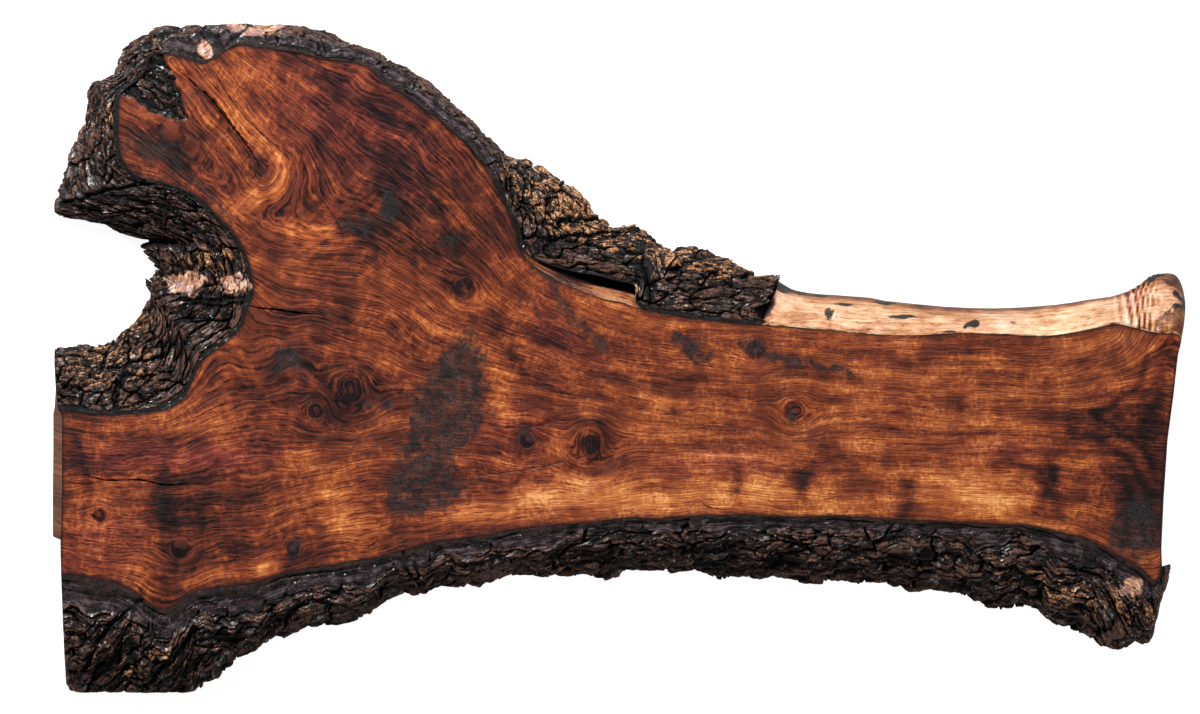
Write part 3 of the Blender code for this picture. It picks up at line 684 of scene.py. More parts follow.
def makeBark(crust):
    material, tree, shader = newMaterial("walnut bark", specular=0.27, coatRoughness=0.24)
    relief, rub, bare = separate(tree, readValues(tree, "crust"))
    rim, along, across = separate(tree, readValues(tree, "strip"))
    place = objectPlace(tree)
    warp, down = noise(tree, place, 140, 2), calc(tree, "SUBTRACT", across, separate(tree, place)[2])
    spot = combine(tree, addUp(tree, (along, 150), (warp, 1.4)), addUp(tree, (down, 290), (warp, 1.4)))
    skin = useGroup(tree, crust, Place=place, Spot=spot, Relief=relief, Rub=rub)
    lines = noise(tree, combine(tree, times(tree, along, 22), times(tree, across, 380)), 1, 3)
    lines = rangeOf(tree, lines, 0.3, 0.7)
    mottle = noise(tree, place, 60, 4, 0.6)
    smooth = ramp(tree, addUp(tree, (lines, 0.35), (mottle, 1.3), (relief, 0.60), -0.60),
                  barkSkin["rim"])
    browned = times(tree, rub, rangeOf(tree, mottle, 0.36, 0.54))
    smooth = mixColours(tree, browned, smooth, barkSkin["browned"])
    colour = mixColours(tree, rim, skin["Colour"], smooth)
    inner = ramp(tree, addUp(tree, (lines, 0.25), (mottle, 1.1), (skin["Height"], 0.35), -0.55),
                 barkSkin["inner"])
    mauve = rangeOf(tree, noise(tree, place, 40, 2), 0.50, 0.60, 0.0, 0.55)
    inner = mixColours(tree, mauve, inner, barkSkin["mauve"])
    colour = mixColours(tree, bare, colour, inner)
    feed(tree, shader.inputs["Base Color"], colour)
    feed(tree, shader.inputs["Roughness"], addUp(tree, (skin["Roughness"], 1.0), (rim, -0.06)))
    feed(tree, shader.inputs["Coat Weight"], rangeOf(tree, mottle, 0.44, 0.60, 0.0, 0.34))
    height = addUp(tree, (skin["Height"], 1.0), (lines, 0.25))
    feed(tree, shader.inputs["Normal"], bump(tree, height, 0.6, 0.0013))
    return material


# The wood, one piece: a flat oiled face, a flaring side and a sawn underside.
woodPiece = {
    "outlineStep": 0.0042, "faceGrid": 0.0049, "fineGrid": 0.0023, "sideRows": 24,
    "pocketDepth": 0.0085, "ripple": 0.0038,
    "ripplePitch": 0.0105, "rippleFrom": 0.074, "rippleReach": 0.034, "knob": (1187, 340),
    "hiddenInset": 0.0015, "sideLanes": 5, "grainLength": 1.75, "grainWidth": 0.62, "sharp": 35,
    "edgeClear": 1.6, "edgeShade": 2.2,  # in sketch units
}
cadLevels = (1.0, 0.86, 0.62, 0.58, 0.28, 0.0)
besideGap = (0.0, 0.13, 0.22, 0.235, 0.36, 0.5)
ledgeEnd = (0.0, 0.04, 0.08, 1.0, 1.0, 1.0)

# Knots: middle and radius in sketch units.
knots = (
    (262, 168, 17), (350, 390, 17), (316, 411, 9), (590, 445, 13), (465, 290, 13), (793, 411, 12),
    (755, 350, 11), (293, 548, 9), (180, 548, 11), (527, 440, 9), (100, 515, 8),
)

# Places where the grain wraps round a buried limb: its line, and how far the rings spread.
swirls = (
    (((172, 60), (262, 170)), 85), (((350, 385), (352, 392)), 34), (((590, 440), (590, 450)), 26),
    (((793, 411), (797, 411)), 20), (((316, 409), (317, 413)), 15),
)

# Broad tones: gold is above zero, dark is below.
toneSpots = (
    (370, 130, 125, 80, -25, -0.06), (240, 122, 68, 13, -48, 0.17), (282, 104, 26, 14, -20, -0.1),
    (287, 175, 14, 24, 15, 0.22), (425, 175, 105, 66, -35, -0.09), (238, 182, 12, 18, 0, -0.14),
    (360, 262, 26, 20, 0, -0.16), (480, 262, 50, 20, -20, -0.08), (92, 412, 36, 26, 0, -0.14),
    (318, 462, 58, 18, 0, 0.17), (165, 150, 58, 28, -8, -0.26), (315, 238, 34, 16, -10, 0.28),
    (352, 230, 24, 16, 0, -0.18), (200, 185, 40, 14, -35, -0.16), (500, 215, 26, 60, 25, -0.16),
    (300, 330, 90, 60, 0, -0.06), (385, 200, 16, 36, 5, -0.22), (447, 248, 22, 20, 0, -0.18),
    (462, 290, 22, 18, 0, -0.2), (330, 70, 70, 16, -8, -0.06), (250, 72, 22, 12, 0, 0.1),
    (256, 205, 22, 34, -30, 0.06), (215, 425, 50, 15, 0, 0.13), (205, 512, 54, 50, -10, -0.18),
    (172, 492, 12, 60, 0, -0.18), (100, 520, 24, 44, 0, 0.02), (74, 440, 12, 60, 0, -0.06),
    (260, 562, 24, 11, 18, 0.34), (348, 522, 36, 40, 0, 0.27), (180, 575, 22, 26, 0, -0.1),
    (122, 560, 28, 20, 0, 0.08), (550, 505, 130, 19, 5, 0.28), (735, 496, 125, 23, 0, 0.3),
    (965, 497, 56, 24, -3, 0.3), (1015, 505, 26, 18, -8, 0.08), (690, 345, 20, 11, -20, -0.22),
    (728, 345, 16, 10, 0, -0.18), (800, 365, 50, 9, -14, -0.22), (735, 485, 12, 22, 0, -0.3),
    (815, 478, 12, 30, -10, -0.32), (832, 438, 18, 14, 0, -0.2), (905, 500, 10, 30, 0, -0.24),
    (950, 405, 12, 12, 0, -0.16), (1048, 482, 11, 32, 0, -0.34), (1064, 505, 8, 22, 20, -0.2),
    (1090, 420, 44, 12, 0, -0.22), (1128, 425, 30, 30, 30, -0.16), (1160, 430, 16, 105, 0, -0.3),
    (1132, 500, 30, 44, 20, -0.26), (1100, 350, 50, 14, -18, -0.04), (940, 370, 180, 34, 0, 0.06),
    (640, 380, 90, 13, 0, -0.1), (700, 410, 120, 24, 0, 0.03), (525, 445, 26, 20, 0, -0.22),
    (590, 445, 22, 18, 0, -0.24), (345, 398, 56, 22, 15, -0.1), (372, 418, 20, 16, 0, 0.12),
    (560, 470, 60, 8, 8, -0.1), (280, 420, 50, 18, 20, 0.05), (410, 310, 60, 24, -20, 0.12),
    (495, 400, 18, 40, 0, 0.14), (645, 430, 26, 40, 0, 0.1), (240, 440, 60, 20, 5, -0.05),
    (560, 335, 60, 18, -38, -0.14), (512, 340, 14, 36, 20, -0.14), (735, 458, 84, 15, 0, 0.15),
    (865, 458, 60, 13, 0, -0.13), (860, 339, 54, 11, 0, 0.12), (762, 498, 24, 12, 0, 0.12),
    (1162, 345, 14, 24, 0, -0.14), (1085, 340, 30, 11, 0, 0.1), (1120, 462, 16, 15, 0, -0.1),
    (760, 347, 15, 11, 0, -0.12), (365, 335, 28, 18, 0, 0.1), (1015, 381, 50, 13, 0, -0.07),
    (925, 395, 30, 26, 0, 0.07), (880, 330, 60, 8, 0, 0.08), (1000, 450, 60, 10, 0, -0.04),
    (1000, 420, 130, 70, 0, 0.025), (870, 440, 60, 14, 0, 0.06), (620, 300, 16, 8, -20, 0.12),
)
redSpots = (
    (180, 455, 130, 16, 0, 0.8), (710, 462, 105, 20, 0, 0.6), (370, 130, 120, 70, -25, 0.45),
    (300, 345, 40, 45, 0, 0.35), (500, 440, 60, 30, 0, 0.4), (110, 540, 40, 40, 0, 0.35),
    (1000, 450, 90, 14, 0, 0.3), (560, 335, 60, 20, -38, 0.5), (350, 400, 60, 26, 10, 0.4),
)
sootSpots = (
    (464, 368, 36, 19, 72, 0.95), (446, 405, 42, 34, 62, 1.0), (428, 446, 40, 34, 70, 1.0),
    (414, 500, 36, 26, 60, 0.85), (446, 496, 28, 22, 20, 0.7), (384, 205, 30, 15, 80, 0.7),
    (352, 228, 18, 15, 0, 0.6), (283, 352, 18, 16, 20, 0.75), (447, 243, 14, 11, 0, 0.5),
    (735, 487, 9, 14, 0, 0.4), (1138, 526, 38, 30, 72, 0.95), (815, 482, 9, 22, -10, 0.3),
    (1050, 490, 8, 24, 0, 0.4), (293, 548, 10, 12, 0, 0.7), (110, 500, 14, 10, 0, 0.25),
    (300, 352, 14, 40, 10, 0.25), (172, 505, 8, 14, 0, 0.4), (700, 352, 16, 9, -40, 0.7),
    (755, 350, 18, 10, 0, 0.55), (565, 312, 34, 7, -45, 0.45), (604, 345, 12, 14, 0, 0.5),
    (150, 148, 40, 16, -10, 0.4), (950, 406, 10, 8, 0, 0.3), (525, 440, 16, 12, 0, 0.35),
    (793, 411, 8, 7, 0, 0.9),
)
# Thin dark seams and dark growth lines: points, half width, strength.
seams = (
    (((530, 260), (560, 300), (585, 320), (608, 345)), 6.0, 0.55),
    (((675, 338), (693, 350), (708, 362)), 5.0, 0.85),
    (((740, 350), (775, 356), (810, 365), (845, 372)), 4.5, 0.65),
    (((118, 150), (160, 160), (200, 185), (235, 225)), 7.0, 0.35),
    (((350, 402), (385, 405), (420, 395)), 5.0, 0.4), (((515, 302), (545, 320), (600, 338)), 4.0, 0.35),
)
figures = (
    (((860, 425), (907, 431), (976, 438), (1020, 432)), 3.0, 0.16),
    (((976, 470), (1007, 461), (1048, 474), (1072, 494)), 3.0, 0.2),
    (((1052, 425), (1093, 434), (1128, 457), (1155, 497)), 4.0, 0.24),
    (((1079, 408), (1112, 422), (1146, 452), (1160, 480)), 3.5, 0.26),
    (((1150, 345), (1140, 385), (1110, 408), (1080, 415)), 3.5, 0.22),
    (((1128, 484), (1134, 505), (1126, 530), (1134, 548)), 3.0, 0.2),
    (((1142, 480), (1150, 505), (1142, 530), (1148, 550)), 3.0, 0.2),
    (((490, 420), (535, 423), (580, 420), (618, 426)), 3.0, 0.2),
    (((645, 390), (680, 378), (715, 380)), 3.5, 0.14),
    (((515, 355), (525, 375), (560, 394), (612, 404)), 4.0, 0.18),
    (((512, 335), (510, 352), (516, 372)), 3.0, 0.16),
    (((70, 428), (84, 450), (92, 490), (84, 530)), 3.0, 0.14),
    (((165, 500), (176, 520), (182, 545), (172, 585)), 4.0, 0.18),
    (((200, 500), (206, 530), (198, 560), (184, 585)), 4.0, 0.1),
    (((305, 120), (350, 180), (372, 240), (380, 290)), 3.0, 0.12),
    (((330, 100), (385, 165), (412, 240), (420, 300)), 3.0, 0.12),
    (((352, 85), (412, 150), (445, 220), (470, 290)), 3.0, 0.12),
    (((270, 205), (300, 215), (325, 200), (322, 170)), 3.0, 0.16),
    (((860, 350), (900, 360), (960, 352), (1010, 345)), 4.0, 0.1),
    (((880, 395), (925, 410), (970, 405)), 3.0, 0.14),
)


def sideLevels():
    # Rows down the wood's side, closer together near the face.
    return 1 - np.linspace(0, 1, woodPiece["sideRows"]) ** 1.5


def woodSide(name, stations):
    wood, outer, along, shape = sampleStations(stations, woodPiece["outlineStep"])
    reach = outer - wood
    width = np.linalg.norm(reach, axis=1)
    outward = reach / np.maximum(width, 1e-6)[:, None]
    level = sideLevels()
    hidden = slab["flare"] * (1 - level)
    if name in ("fork", "crown", "belly"):
        beside = np.interp(-level, [-value for value in cadLevels], besideGap)
        lifted = np.clip(shape[:, 1:] * 8, 0, 1)
        far = (hidden * (1 - lifted) + beside * lifted) * width[:, None]
        far[:, 1:-1] -= woodPiece["hiddenInset"] * (1 - lifted)
    elif name == "forked":
        far = np.interp(-level, [-value for value in cadLevels], ledgeEnd) * width[:, None]
    else:
        far = np.sin(np.pi / 2 * (1 - level) ** 0.8) * width[:, None]
    kind, crest = np.zeros(far.shape), np.zeros(far.shape)
    heights = np.repeat((top * level)[None], len(far), axis=0)
    if name == "crown":
        kind += np.clip(shape[:, 1:] * 8, 0, 1) > 0.3
        kind[-3:] = 1
    if name == "sapwood":
        kind += 1
        knob = plan(*woodPiece["knob"])
        fromKnob = np.linalg.norm(wood - knob, axis=1)[:, None] - 0.2 * far
        near = np.exp(-((fromKnob - woodPiece["rippleFrom"]) / woodPiece["rippleReach"]) ** 2)
        fromKnob = fromKnob + 0.008 * valueNoise(along[:, None] / 0.045 + 0 * far, far / 0.050, 25)
        waves = near * np.sin(2 * np.pi * fromKnob / woodPiece["ripplePitch"])
        dents = valueNoise(along[:, None] / 0.05 + 0 * far, far / 0.02, 21)
        fine = layeredNoise(along[:, None] / 5 + 0 * far, far, 0.006, 23)
        push = woodPiece["ripple"] * (waves + 0.7 * dents * (1 - near)) + 0.0009 * fine
        far[:, 1:-1] += 0.7 * push[:, 1:-1]
        heights[:, 1:-2] += np.minimum(push[:, 1:-2], 0.0012) * smoothStep(level[1:-2], 0.0, 0.3)
        crest = near * np.sin(2 * np.pi * fromKnob / woodPiece["ripplePitch"])
    flat = wood[:, None] + far[..., None] * outward[:, None]
    rings = np.dstack([flat, np.clip(heights, 0, top)])
    # Painted shade under the lifted crown bark: from a little way in, the wood's side is darkened.
    begin = np.interp(sketchPlace(wood)[0], (540, 575, 612), (0.008, 0.011, 0.020))[:, None]
    shadeUnderBark = np.clip(shape[:, 1:] * 8, 0, 1) * smoothStep(far, begin, begin + 0.005)
    return rings, kind, along, shadeUnderBark, crest


def faceOutlineShift():
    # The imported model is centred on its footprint: the same outline, drawn here, shows by how much.
    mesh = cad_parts["walnut_slab"].data
    points = np.empty(len(mesh.vertices) * 3)
    mesh.vertices.foreach_get("co", points)
    points = points.reshape(-1, 3)
    packed = points[points[:, 2] > top - 1e-5, :2].min(axis=0)
    own = np.min([sampleStations(stations, 0.0125)[0].min(axis=0) for _, stations in stretches], axis=0)
    return packed - own


grainSolver = {"steps": (24.0, 12.0, 6.0), "rounds": 900, "left": (24, 1212), "down": (0, 720)}


def grainEdges(outline, which):
    # Across runs from the belly (0) to the crown (1), along from the forked end (0) to the narrow end (1).
    x, y = outline.T
    across, along = np.full(len(x), np.nan), np.full(len(x), np.nan)
    across[(which == "crown") | ((which == "sapwood") & (x < 1120))] = 1.0
    across[which == "belly"] = 0.0
    across[(which == "fork") & ~((y < 180) & (x < 240))] = 0.45
    along[(which == "forked") | ((which == "fork") & (y < 178))] = 0.0
    along[which == "narrow"] = 1.0
    return {"across": across, "along": along}


def grainFields(outline, sides):
    # The edge's values, spread smoothly over the face on ever finer grids.
    tree = edgeTree(outline)
    field, past = {}, {}
    for step in grainSolver["steps"]:
        xs, ys = np.arange(*grainSolver["left"], step), np.arange(*grainSolver["down"], step)
        gridX, gridY = np.meshgrid(xs, ys)
        inside = insidePolygon(outline, gridX, gridY)
        nearest = np.full(gridX.shape, -1)
        ring = ~inside & (neighbourSum(inside.astype(int)) > 0)
        for row, column in zip(*np.nonzero(ring)):
            nearest[row, column] = tree.find((gridX[row, column], gridY[row, column], 0))[1]
        for name in ("across", "along"):
            side = sides[name][nearest]
            fixed = ring & ~np.isnan(side)
            values = np.where(fixed, side, 0.5)
            if name in past:
                values = np.where(fixed, side, sampleGrid(past[name], gridX, gridY))
            field[name] = (xs[0], ys[0], step, relax(inside, fixed, values, grainSolver["rounds"]))
        past = dict(field)
    return field


def neighbourSum(values):
    return sum(np.roll(values, 1, axis) + np.roll(values, -1, axis) for axis in (0, 1))


def relax(inside, fixed, field, rounds):
    known = (inside | fixed).astype(float)
    weight = np.maximum(neighbourSum(known), 1)
    for _ in range(rounds):
        field = np.where(inside, neighbourSum(field * known) / weight, field)
    # Cells just outside take their neighbours' mean, so that reading near the edge stays smooth.
    for _ in range(3):
        count = neighbourSum(known)
        grow = (known == 0) & (count > 0)
        field = np.where(grow, neighbourSum(field * known) / np.maximum(count, 1), field)
        known = np.where(grow, 1.0, known)
    return field


def sampleGrid(grid, x, y):
    startX, startY, step, values = grid
    column = np.clip((x - startX) / step, 0, values.shape[1] - 1.001)
    row = np.clip((y - startY) / step, 0, values.shape[0] - 1.001)
    i, j = np.floor(column).astype(int), np.floor(row).astype(int)
    p, q = column - i, row - j
    return ((values[j, i] * (1 - p) + values[j, i + 1] * p) * (1 - q)
            + (values[j + 1, i] * (1 - p) + values[j + 1, i + 1] * p) * q)


def facePoints(outline):
    # Points for the face: its edge, an even grid inside, and closer ones at splits, knots and the pocket.
    rng = np.random.default_rng(slab["seed"])
    lowest, highest = outline.min(axis=0), outline.max(axis=0)
    fineStep, coarseStep = woodPiece["fineGrid"] / unit, woodPiece["faceGrid"] / unit

    def grid(step, low, high):
        xs, ys = np.arange(low[0], high[0], step), np.arange(low[1], high[1], step * 0.866)
        gridX, gridY = np.meshgrid(xs, ys)
        gridX = gridX + 0.5 * step * (np.arange(len(ys)) % 2)[:, None]
        jitter = rng.uniform(-0.12, 0.12, (2, *gridX.shape)) * step
        return (gridX + jitter[0]).ravel(), (gridY + jitter[1]).ravel()

    x, y = grid(coarseStep, lowest, highest)
    pocketLine = (*pocket, pocket[0])

    def fineZone(x, y):
        zone = insidePolygon(np.array(pocket), x, y) | (distanceToLine(pocketLine, x, y)[0] < 3)
        for middleX, middleY, radius in knots:
            zone |= np.hypot(x - middleX, y - middleY) < radius * 1.3
        return zone

    keep = ~fineZone(x, y)
    fineX, fineY = [], []
    zones = [(min(c[0] for c in pocket) - 4, min(c[1] for c in pocket) - 4,
              max(c[0] for c in pocket) + 4, max(c[1] for c in pocket) + 4)]
    zones += [(kx - 1.4 * r, ky - 1.4 * r, kx + 1.4 * r, ky + 1.4 * r) for kx, ky, r in knots]
    for left, low, right, high in zones:
        zoneX, zoneY = grid(fineStep, (left, low), (right, high))
        inZone = fineZone(zoneX, zoneY)
        fineX.append(zoneX[inZone])
        fineY.append(zoneY[inZone])
    x, y = np.concatenate([x[keep], *fineX]), np.concatenate([y[keep], *fineY])
    keep = insidePolygon(outline, x, y)
    x, y = x[keep], y[keep]
    keep = distanceToEdge(outline, x, y) > woodPiece["edgeClear"]
    for points, wide, _, _ in splits:
        keep &= distanceToLine(points, x, y)[0] > 0.9 * wide / unit
    x, y = x[keep], y[keep]
    extra, depth, dark = [], [], []
    for points, wide, deep, shade in splits:
        line = catmullRom(np.array(points, float), np.linspace(0, len(points) - 1, 14 * len(points)))
        tangent = np.gradient(line, axis=0)
        normal = np.stack([-tangent[:, 1], tangent[:, 0]], axis=1)
        normal /= np.linalg.norm(normal, axis=1)[:, None]
        swell = np.minimum(0.10 + np.sin(np.linspace(0, np.pi, len(line))), 1)
        ragged = 0.75 + 0.35 * valueNoise(np.arange(len(line)) / 2.3, np.zeros(len(line)), 61)
        half = 0.5 * wide / unit * swell * ragged
        for side in (-1, 0, 1):
            extra.append(line + side * normal * half[:, None])
            depth.append((side == 0) * deep * swell)
            dark.append((side == 0) * shade * swell)
    extra, depth, dark = np.concatenate(extra), np.concatenate(depth), np.concatenate(dark)
    keep = insidePolygon(outline, extra[:, 0], extra[:, 1])
    points = np.concatenate([outline, np.stack([x, y], axis=1), extra[keep]])
    plain = np.zeros(len(outline) + len(x))
    return points, np.concatenate([plain, depth[keep]]), np.concatenate([plain, dark[keep]])


def faceRelief(x, y, dips):
    # Splits and the pocket of ingrown bark, sunk into the flat face.
    pocketX = x + 2.5 * valueNoise(x / 7, y / 7, 95)
    pocketY = y + 2.0 * valueNoise(x / 7, y / 7, 96)
    within = insidePolygon(np.array(pocket), pocketX, pocketY)
    inPocket = within * smoothStep(distanceToLine((*pocket, pocket[0]), pocketX, pocketY)[0], 0.0, 2.5)
    bend = 0.4 * valueNoise(x / 9, y / 9, 97)
    border, own, tilt = cellNoise((0.85 * x + 0.52 * y) / 20 + bend, (0.85 * y - 0.52 * x) / 5.5 + bend, 71)
    rough = np.clip(0.10 + smoothStep(border, 0.0, 0.16) * (0.15 + 0.55 * own) + 0.8 * tilt, 0, 1.1)
    sink = woodPiece["pocketDepth"] * (0.10 + 0.90 * (1 - np.minimum(rough, 1)))
    height = top - dips - inPocket * sink
    return height, inPocket, rough


def faceGrain(x, y, fields):
    # Metres along and across the grain, bent round knots and buried limbs, and how near a knot is.
    grainAcross, grainAlong = sampleGrid(fields["across"], x, y), sampleGrid(fields["along"], x, y)
    near = np.full(len(x), 9.0)
    for kx, ky, radius in knots:
        away = np.hypot(x - kx, y - ky)
        middle = sampleGrid(fields["across"], np.array([kx]), np.array([ky]))[0]
        push = np.clip((radius * 0.9 / np.maximum(away, radius * 0.9)) ** 2, 0, 1)
        grainAcross = middle + (grainAcross - middle) * (1 - push * (away < radius * 6))
        near = np.minimum(near, away / radius)
    acrossMetres = grainAcross * woodPiece["grainWidth"] + 0.010 * layeredNoise(x, y, 130, 87)
    acrossMetres = acrossMetres + 0.004 * layeredNoise(x, y, 45, 88)
    for line, reach in swirls:
        away = distanceToLine(line, x, y)[0]
        endX, endY = np.array([line[-1][0]]), np.array([line[-1][1]])
        middle = woodPiece["grainWidth"] * sampleGrid(fields["across"], endX, endY)[0]
        hold = np.exp(-(away / reach) ** 2)
        acrossMetres += hold * (middle + away * unit - acrossMetres)
    return np.stack([grainAlong * woodPiece["grainLength"], acrossMetres, near], axis=1)


def faceTone(x, y):
    warpX = x + 12 * layeredNoise(x, y, 60, 81) + 3 * valueNoise(x / 9, y / 9, 83)
    warpY = y + 7 * layeredNoise(x, y, 60, 82) + 3 * valueNoise(x / 9, y / 9, 84)
    tone = 0.46 + 0.05 * layeredNoise(x, y, 90, 85) + 0.08 * smoothStep(x, 330, 640)
    tone += 1.15 * spots(toneSpots, warpX, warpY)
    lineX, lineY = x + 3 * layeredNoise(x, y, 40, 98), y + 3 * layeredNoise(x, y, 40, 99)
    for line, half, strength in figures:
        away, run = distanceToLine(line, lineX, lineY)
        fade = smoothStep(run, 0.0, 0.15) * smoothStep(1 - run, 0.0, 0.15)
        tone -= strength * fade * np.exp(-(away / half) ** 2)
    red = np.clip(spots(redSpots, warpX, warpY) + 0.15 * layeredNoise(x, y, 110, 86), 0, 1)
    sootAndShade = spots(sootSpots, warpX, warpY)
    for line, half, strength in seams:
        away = distanceToLine(line, warpX, warpY)[0]
        sootAndShade = np.maximum(sootAndShade, strength * np.exp(-(away / half) ** 2))
    return tone, red, sootAndShade


def makeWoodSlab(materials, shift):
    sides = [woodSide(name, stations) for name, stations in stretches]
    rings, kinds, runs, shadesUnderBark, crests = (np.concatenate(values) for values in zip(*sides))
    which = np.repeat([name for name, _ in stretches], [len(side[0]) for side in sides])
    outline = np.stack(sketchPlace(rings[:, 0, :2]), axis=1)
    count = len(outline)
    print("wood outline points", count)
    fields = grainFields(outline, grainEdges(outline, which))
    print("grain solved")

    points, dips, split = facePoints(outline)
    corners = [Vector(point) for point in points.tolist()]
    found = delaunay_2d_cdt(corners, [], [list(range(count))], 1, 1e-5)
    facePlan = np.array([tuple(point) for point in found[0]])
    origin = np.array([starts[0] if starts else -1 for starts in found[3]])
    dips, split = np.where(origin >= 0, dips[origin], 0), np.where(origin >= 0, split[origin], 0)
    x, y = facePlan.T
    place = plan(x, y)
    print("face points", len(x), "triangles", len(found[2]))

    height, inPocket, rough = faceRelief(x, y, dips)
    grain = faceGrain(x, y, fields)
    tone, red, sootAndShade = faceTone(x, y)
    # Painted shade: dark towards the face's edge, in a thin line.
    edge = np.exp(-(distanceToEdge(outline, x, y) / woodPiece["edgeShade"]) ** 2)

    sidePoints = rings[:, 1:].reshape(-1, 3)
    rows = rings.shape[1] - 1
    total = len(x)
    faceOf = {int(start): index for index, start in enumerate(origin) if start >= 0 and start < count}
    border = np.array([faceOf[index] for index in range(count)])
    index = np.column_stack([border, total + np.arange(count * rows).reshape(count, rows)])
    faces = [list(face) for face in found[2]]
    start, second, third = place[faces[0]]
    if np.cross(second - start, third - start) < 0:
        faces = [face[::-1] for face in faces]
    faceCount = len(faces)
    following = np.roll(index, -1, axis=0)
    quads = np.stack([index[:, :-1], index[:, 1:], following[:, 1:], following[:, :-1]], axis=-1)
    area = outline[:, 0] @ np.roll(outline[:, 1], -1) - outline[:, 1] @ np.roll(outline[:, 0], -1)
    if area < 0:
        quads = quads[..., ::-1]
    faces += quads.reshape(-1, 4).tolist()
    underside = index[:, -1].tolist()
    faces.append(underside if area > 0 else underside[::-1])

    allPoints = np.concatenate([np.column_stack([place, height]), sidePoints])
    allPoints[:, :2] += shift
    allPoints = np.clip(allPoints, np.array(cadBox[0]), np.array(cadBox[1]))
    slabPiece = makeObject("walnut_wood", allPoints, faces, materials)
    u, v, wide, row = laneMap(count, rows, woodPiece["sideLanes"], (0.47, 0.62, 0.995, 0.995))
    corners = quadCorners(u, v, wide, row, ((0, 0), (0, 1), (1, 1), (1, 0)))
    if area < 0:
        corners = corners[::-1]
    flatMap = (allPoints[:, :2] - allPoints[:, :2].min(axis=0)) * (0.99 / slab["length"]) + 0.005
    loops = np.array([corner for face in faces[:faceCount] for corner in face])
    under = 0.44 * flatMap[faces[-1]] + np.array((0.005, 0.63))
    setBakeMap(slabPiece, np.concatenate([flatMap[loops], np.stack(corners, axis=2).reshape(-1, 2), under]))
    material = np.zeros(len(faces), np.int32)
    sideKind = np.where(kinds[:, :-1] > 0.5, 1, 2)
    material[faceCount:-1] = sideKind.reshape(-1)
    material[-1] = 2
    slabPiece.data.polygons.foreach_set("material_index", material)
    slabPiece.data.set_sharp_from_angle(angle=math.radians(woodPiece["sharp"]))

    sideAlong = np.repeat(runs[:, None], rows, axis=1).ravel()
    drop = 1 - sideLevels()[1:]
    sideAcross = np.tile(drop, count) * 0.09
    sideX, sideY = sketchPlace(sidePoints)
    sideGrain = np.stack([sideAlong, sideAcross, np.zeros(len(sideX))], axis=1)
    sideTone, sideRed, sideSootAndShade = sapwoodLook(sideX, sideY, np.tile(drop, count))
    # Painted shade in the hollow under the lifted bark, added to the sapwood's real marks.
    hollowShade = shadesUnderBark[:, 1:].ravel()
    sideSootAndShade = np.maximum(sideSootAndShade, 1.5 * hollowShade)
    # The points on the shared edge belong to the face: the side's own values begin one row down.
    addValues(slabPiece, "grain", np.concatenate([grain, sideGrain]))
    addValues(slabPiece, "tone", np.concatenate([np.stack([tone, red, sootAndShade], axis=1),
                                                 np.stack([sideTone, sideRed, sideSootAndShade], axis=1)]))
    damageAndEdgeShade = np.stack([split, inPocket, edge], axis=1)
    addValues(slabPiece, "damageAndEdgeShade", np.concatenate([damageAndEdgeShade, np.zeros((len(sideX), 3))]))
    addValues(slabPiece, "relief", np.concatenate([rough, 0.5 + 0.5 * crests[:, 1:].ravel()]))
    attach(slabPiece, "root")
    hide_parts("walnut_slab")
    return slabPiece


# Marks on the bare sapwood: middle, half length, half width, angle, strength.
sapwoodMarks = (
    (972, 324, 8, 4, -5, 0.9), (968, 326, 5, 2, 30, 0.7), (829, 315, 2.5, 9, 15, 0.75),
    (833, 312, 10, 1.6, -50, 0.5), (845, 303, 16, 2.0, -4, 0.7), (902, 316, 20, 2.4, -3, 0.85),
    (884, 303, 16, 2.2, -4, 0.7), (922, 305, 14, 1.8, -2, 0.5), (950, 332, 14, 1.5, 6, 0.6),
    (1015, 323, 7, 1.6, 0, 0.5), (992, 313, 12, 1.4, 8, 0.4), (1090, 317, 6, 2, 10, 0.4),
    # The mark at 523, 247 is painted shade where the gap under the crown bark begins.
    (523, 247, 6, 5, 0, 1.5), (1158, 277, 14, 2.6, 14, 0.8), (1171, 283, 8, 3, -20, 0.5),
    (1178, 294, 6, 4, -40, 0.9), (1184, 303, 4, 7, 0, 0.9), (1176, 307, 6, 2, 30, 0.9),
    (1165, 314, 5, 1.6, 30, 0.6), (1150, 277, 16, 2.2, 20, 0.5), (575, 283, 30, 3, -20, 0.4),
    (800, 291, 38, 2.6, -7, 1.0), (783, 287, 12, 5, -12, 1.3), (1040, 330, 30, 1.2, -2, 0.3),
    (870, 330, 40, 1.3, -3, 0.4), (763, 308, 9, 22, -15, 1.3),
)
# Gold and brown parts of it, and the mauve ones.
sapwoodTones = (
    (800, 316, 24, 8, 0, -0.05), (860, 318, 46, 7, -3, 0.05), (930, 318, 30, 8, 0, -0.12),
    (1000, 322, 36, 6, 0, 0.1), (1060, 318, 30, 8, 4, -0.06), (1140, 330, 24, 4, -4, 0.1),
    (1176, 285, 10, 10, 0, -0.22), (1128, 306, 26, 16, 20, 0.02), (640, 296, 14, 8, -15, 0.3),
    (570, 286, 44, 8, -24, -0.24),
)


# The knob's cut facet, brown and gold under a ragged edge.
facet = (
    (1130, 332), (1130, 326), (1142, 328), (1152, 321), (1160, 316), (1171, 311), (1180, 304), (1192, 301),
    (1192, 345),
)


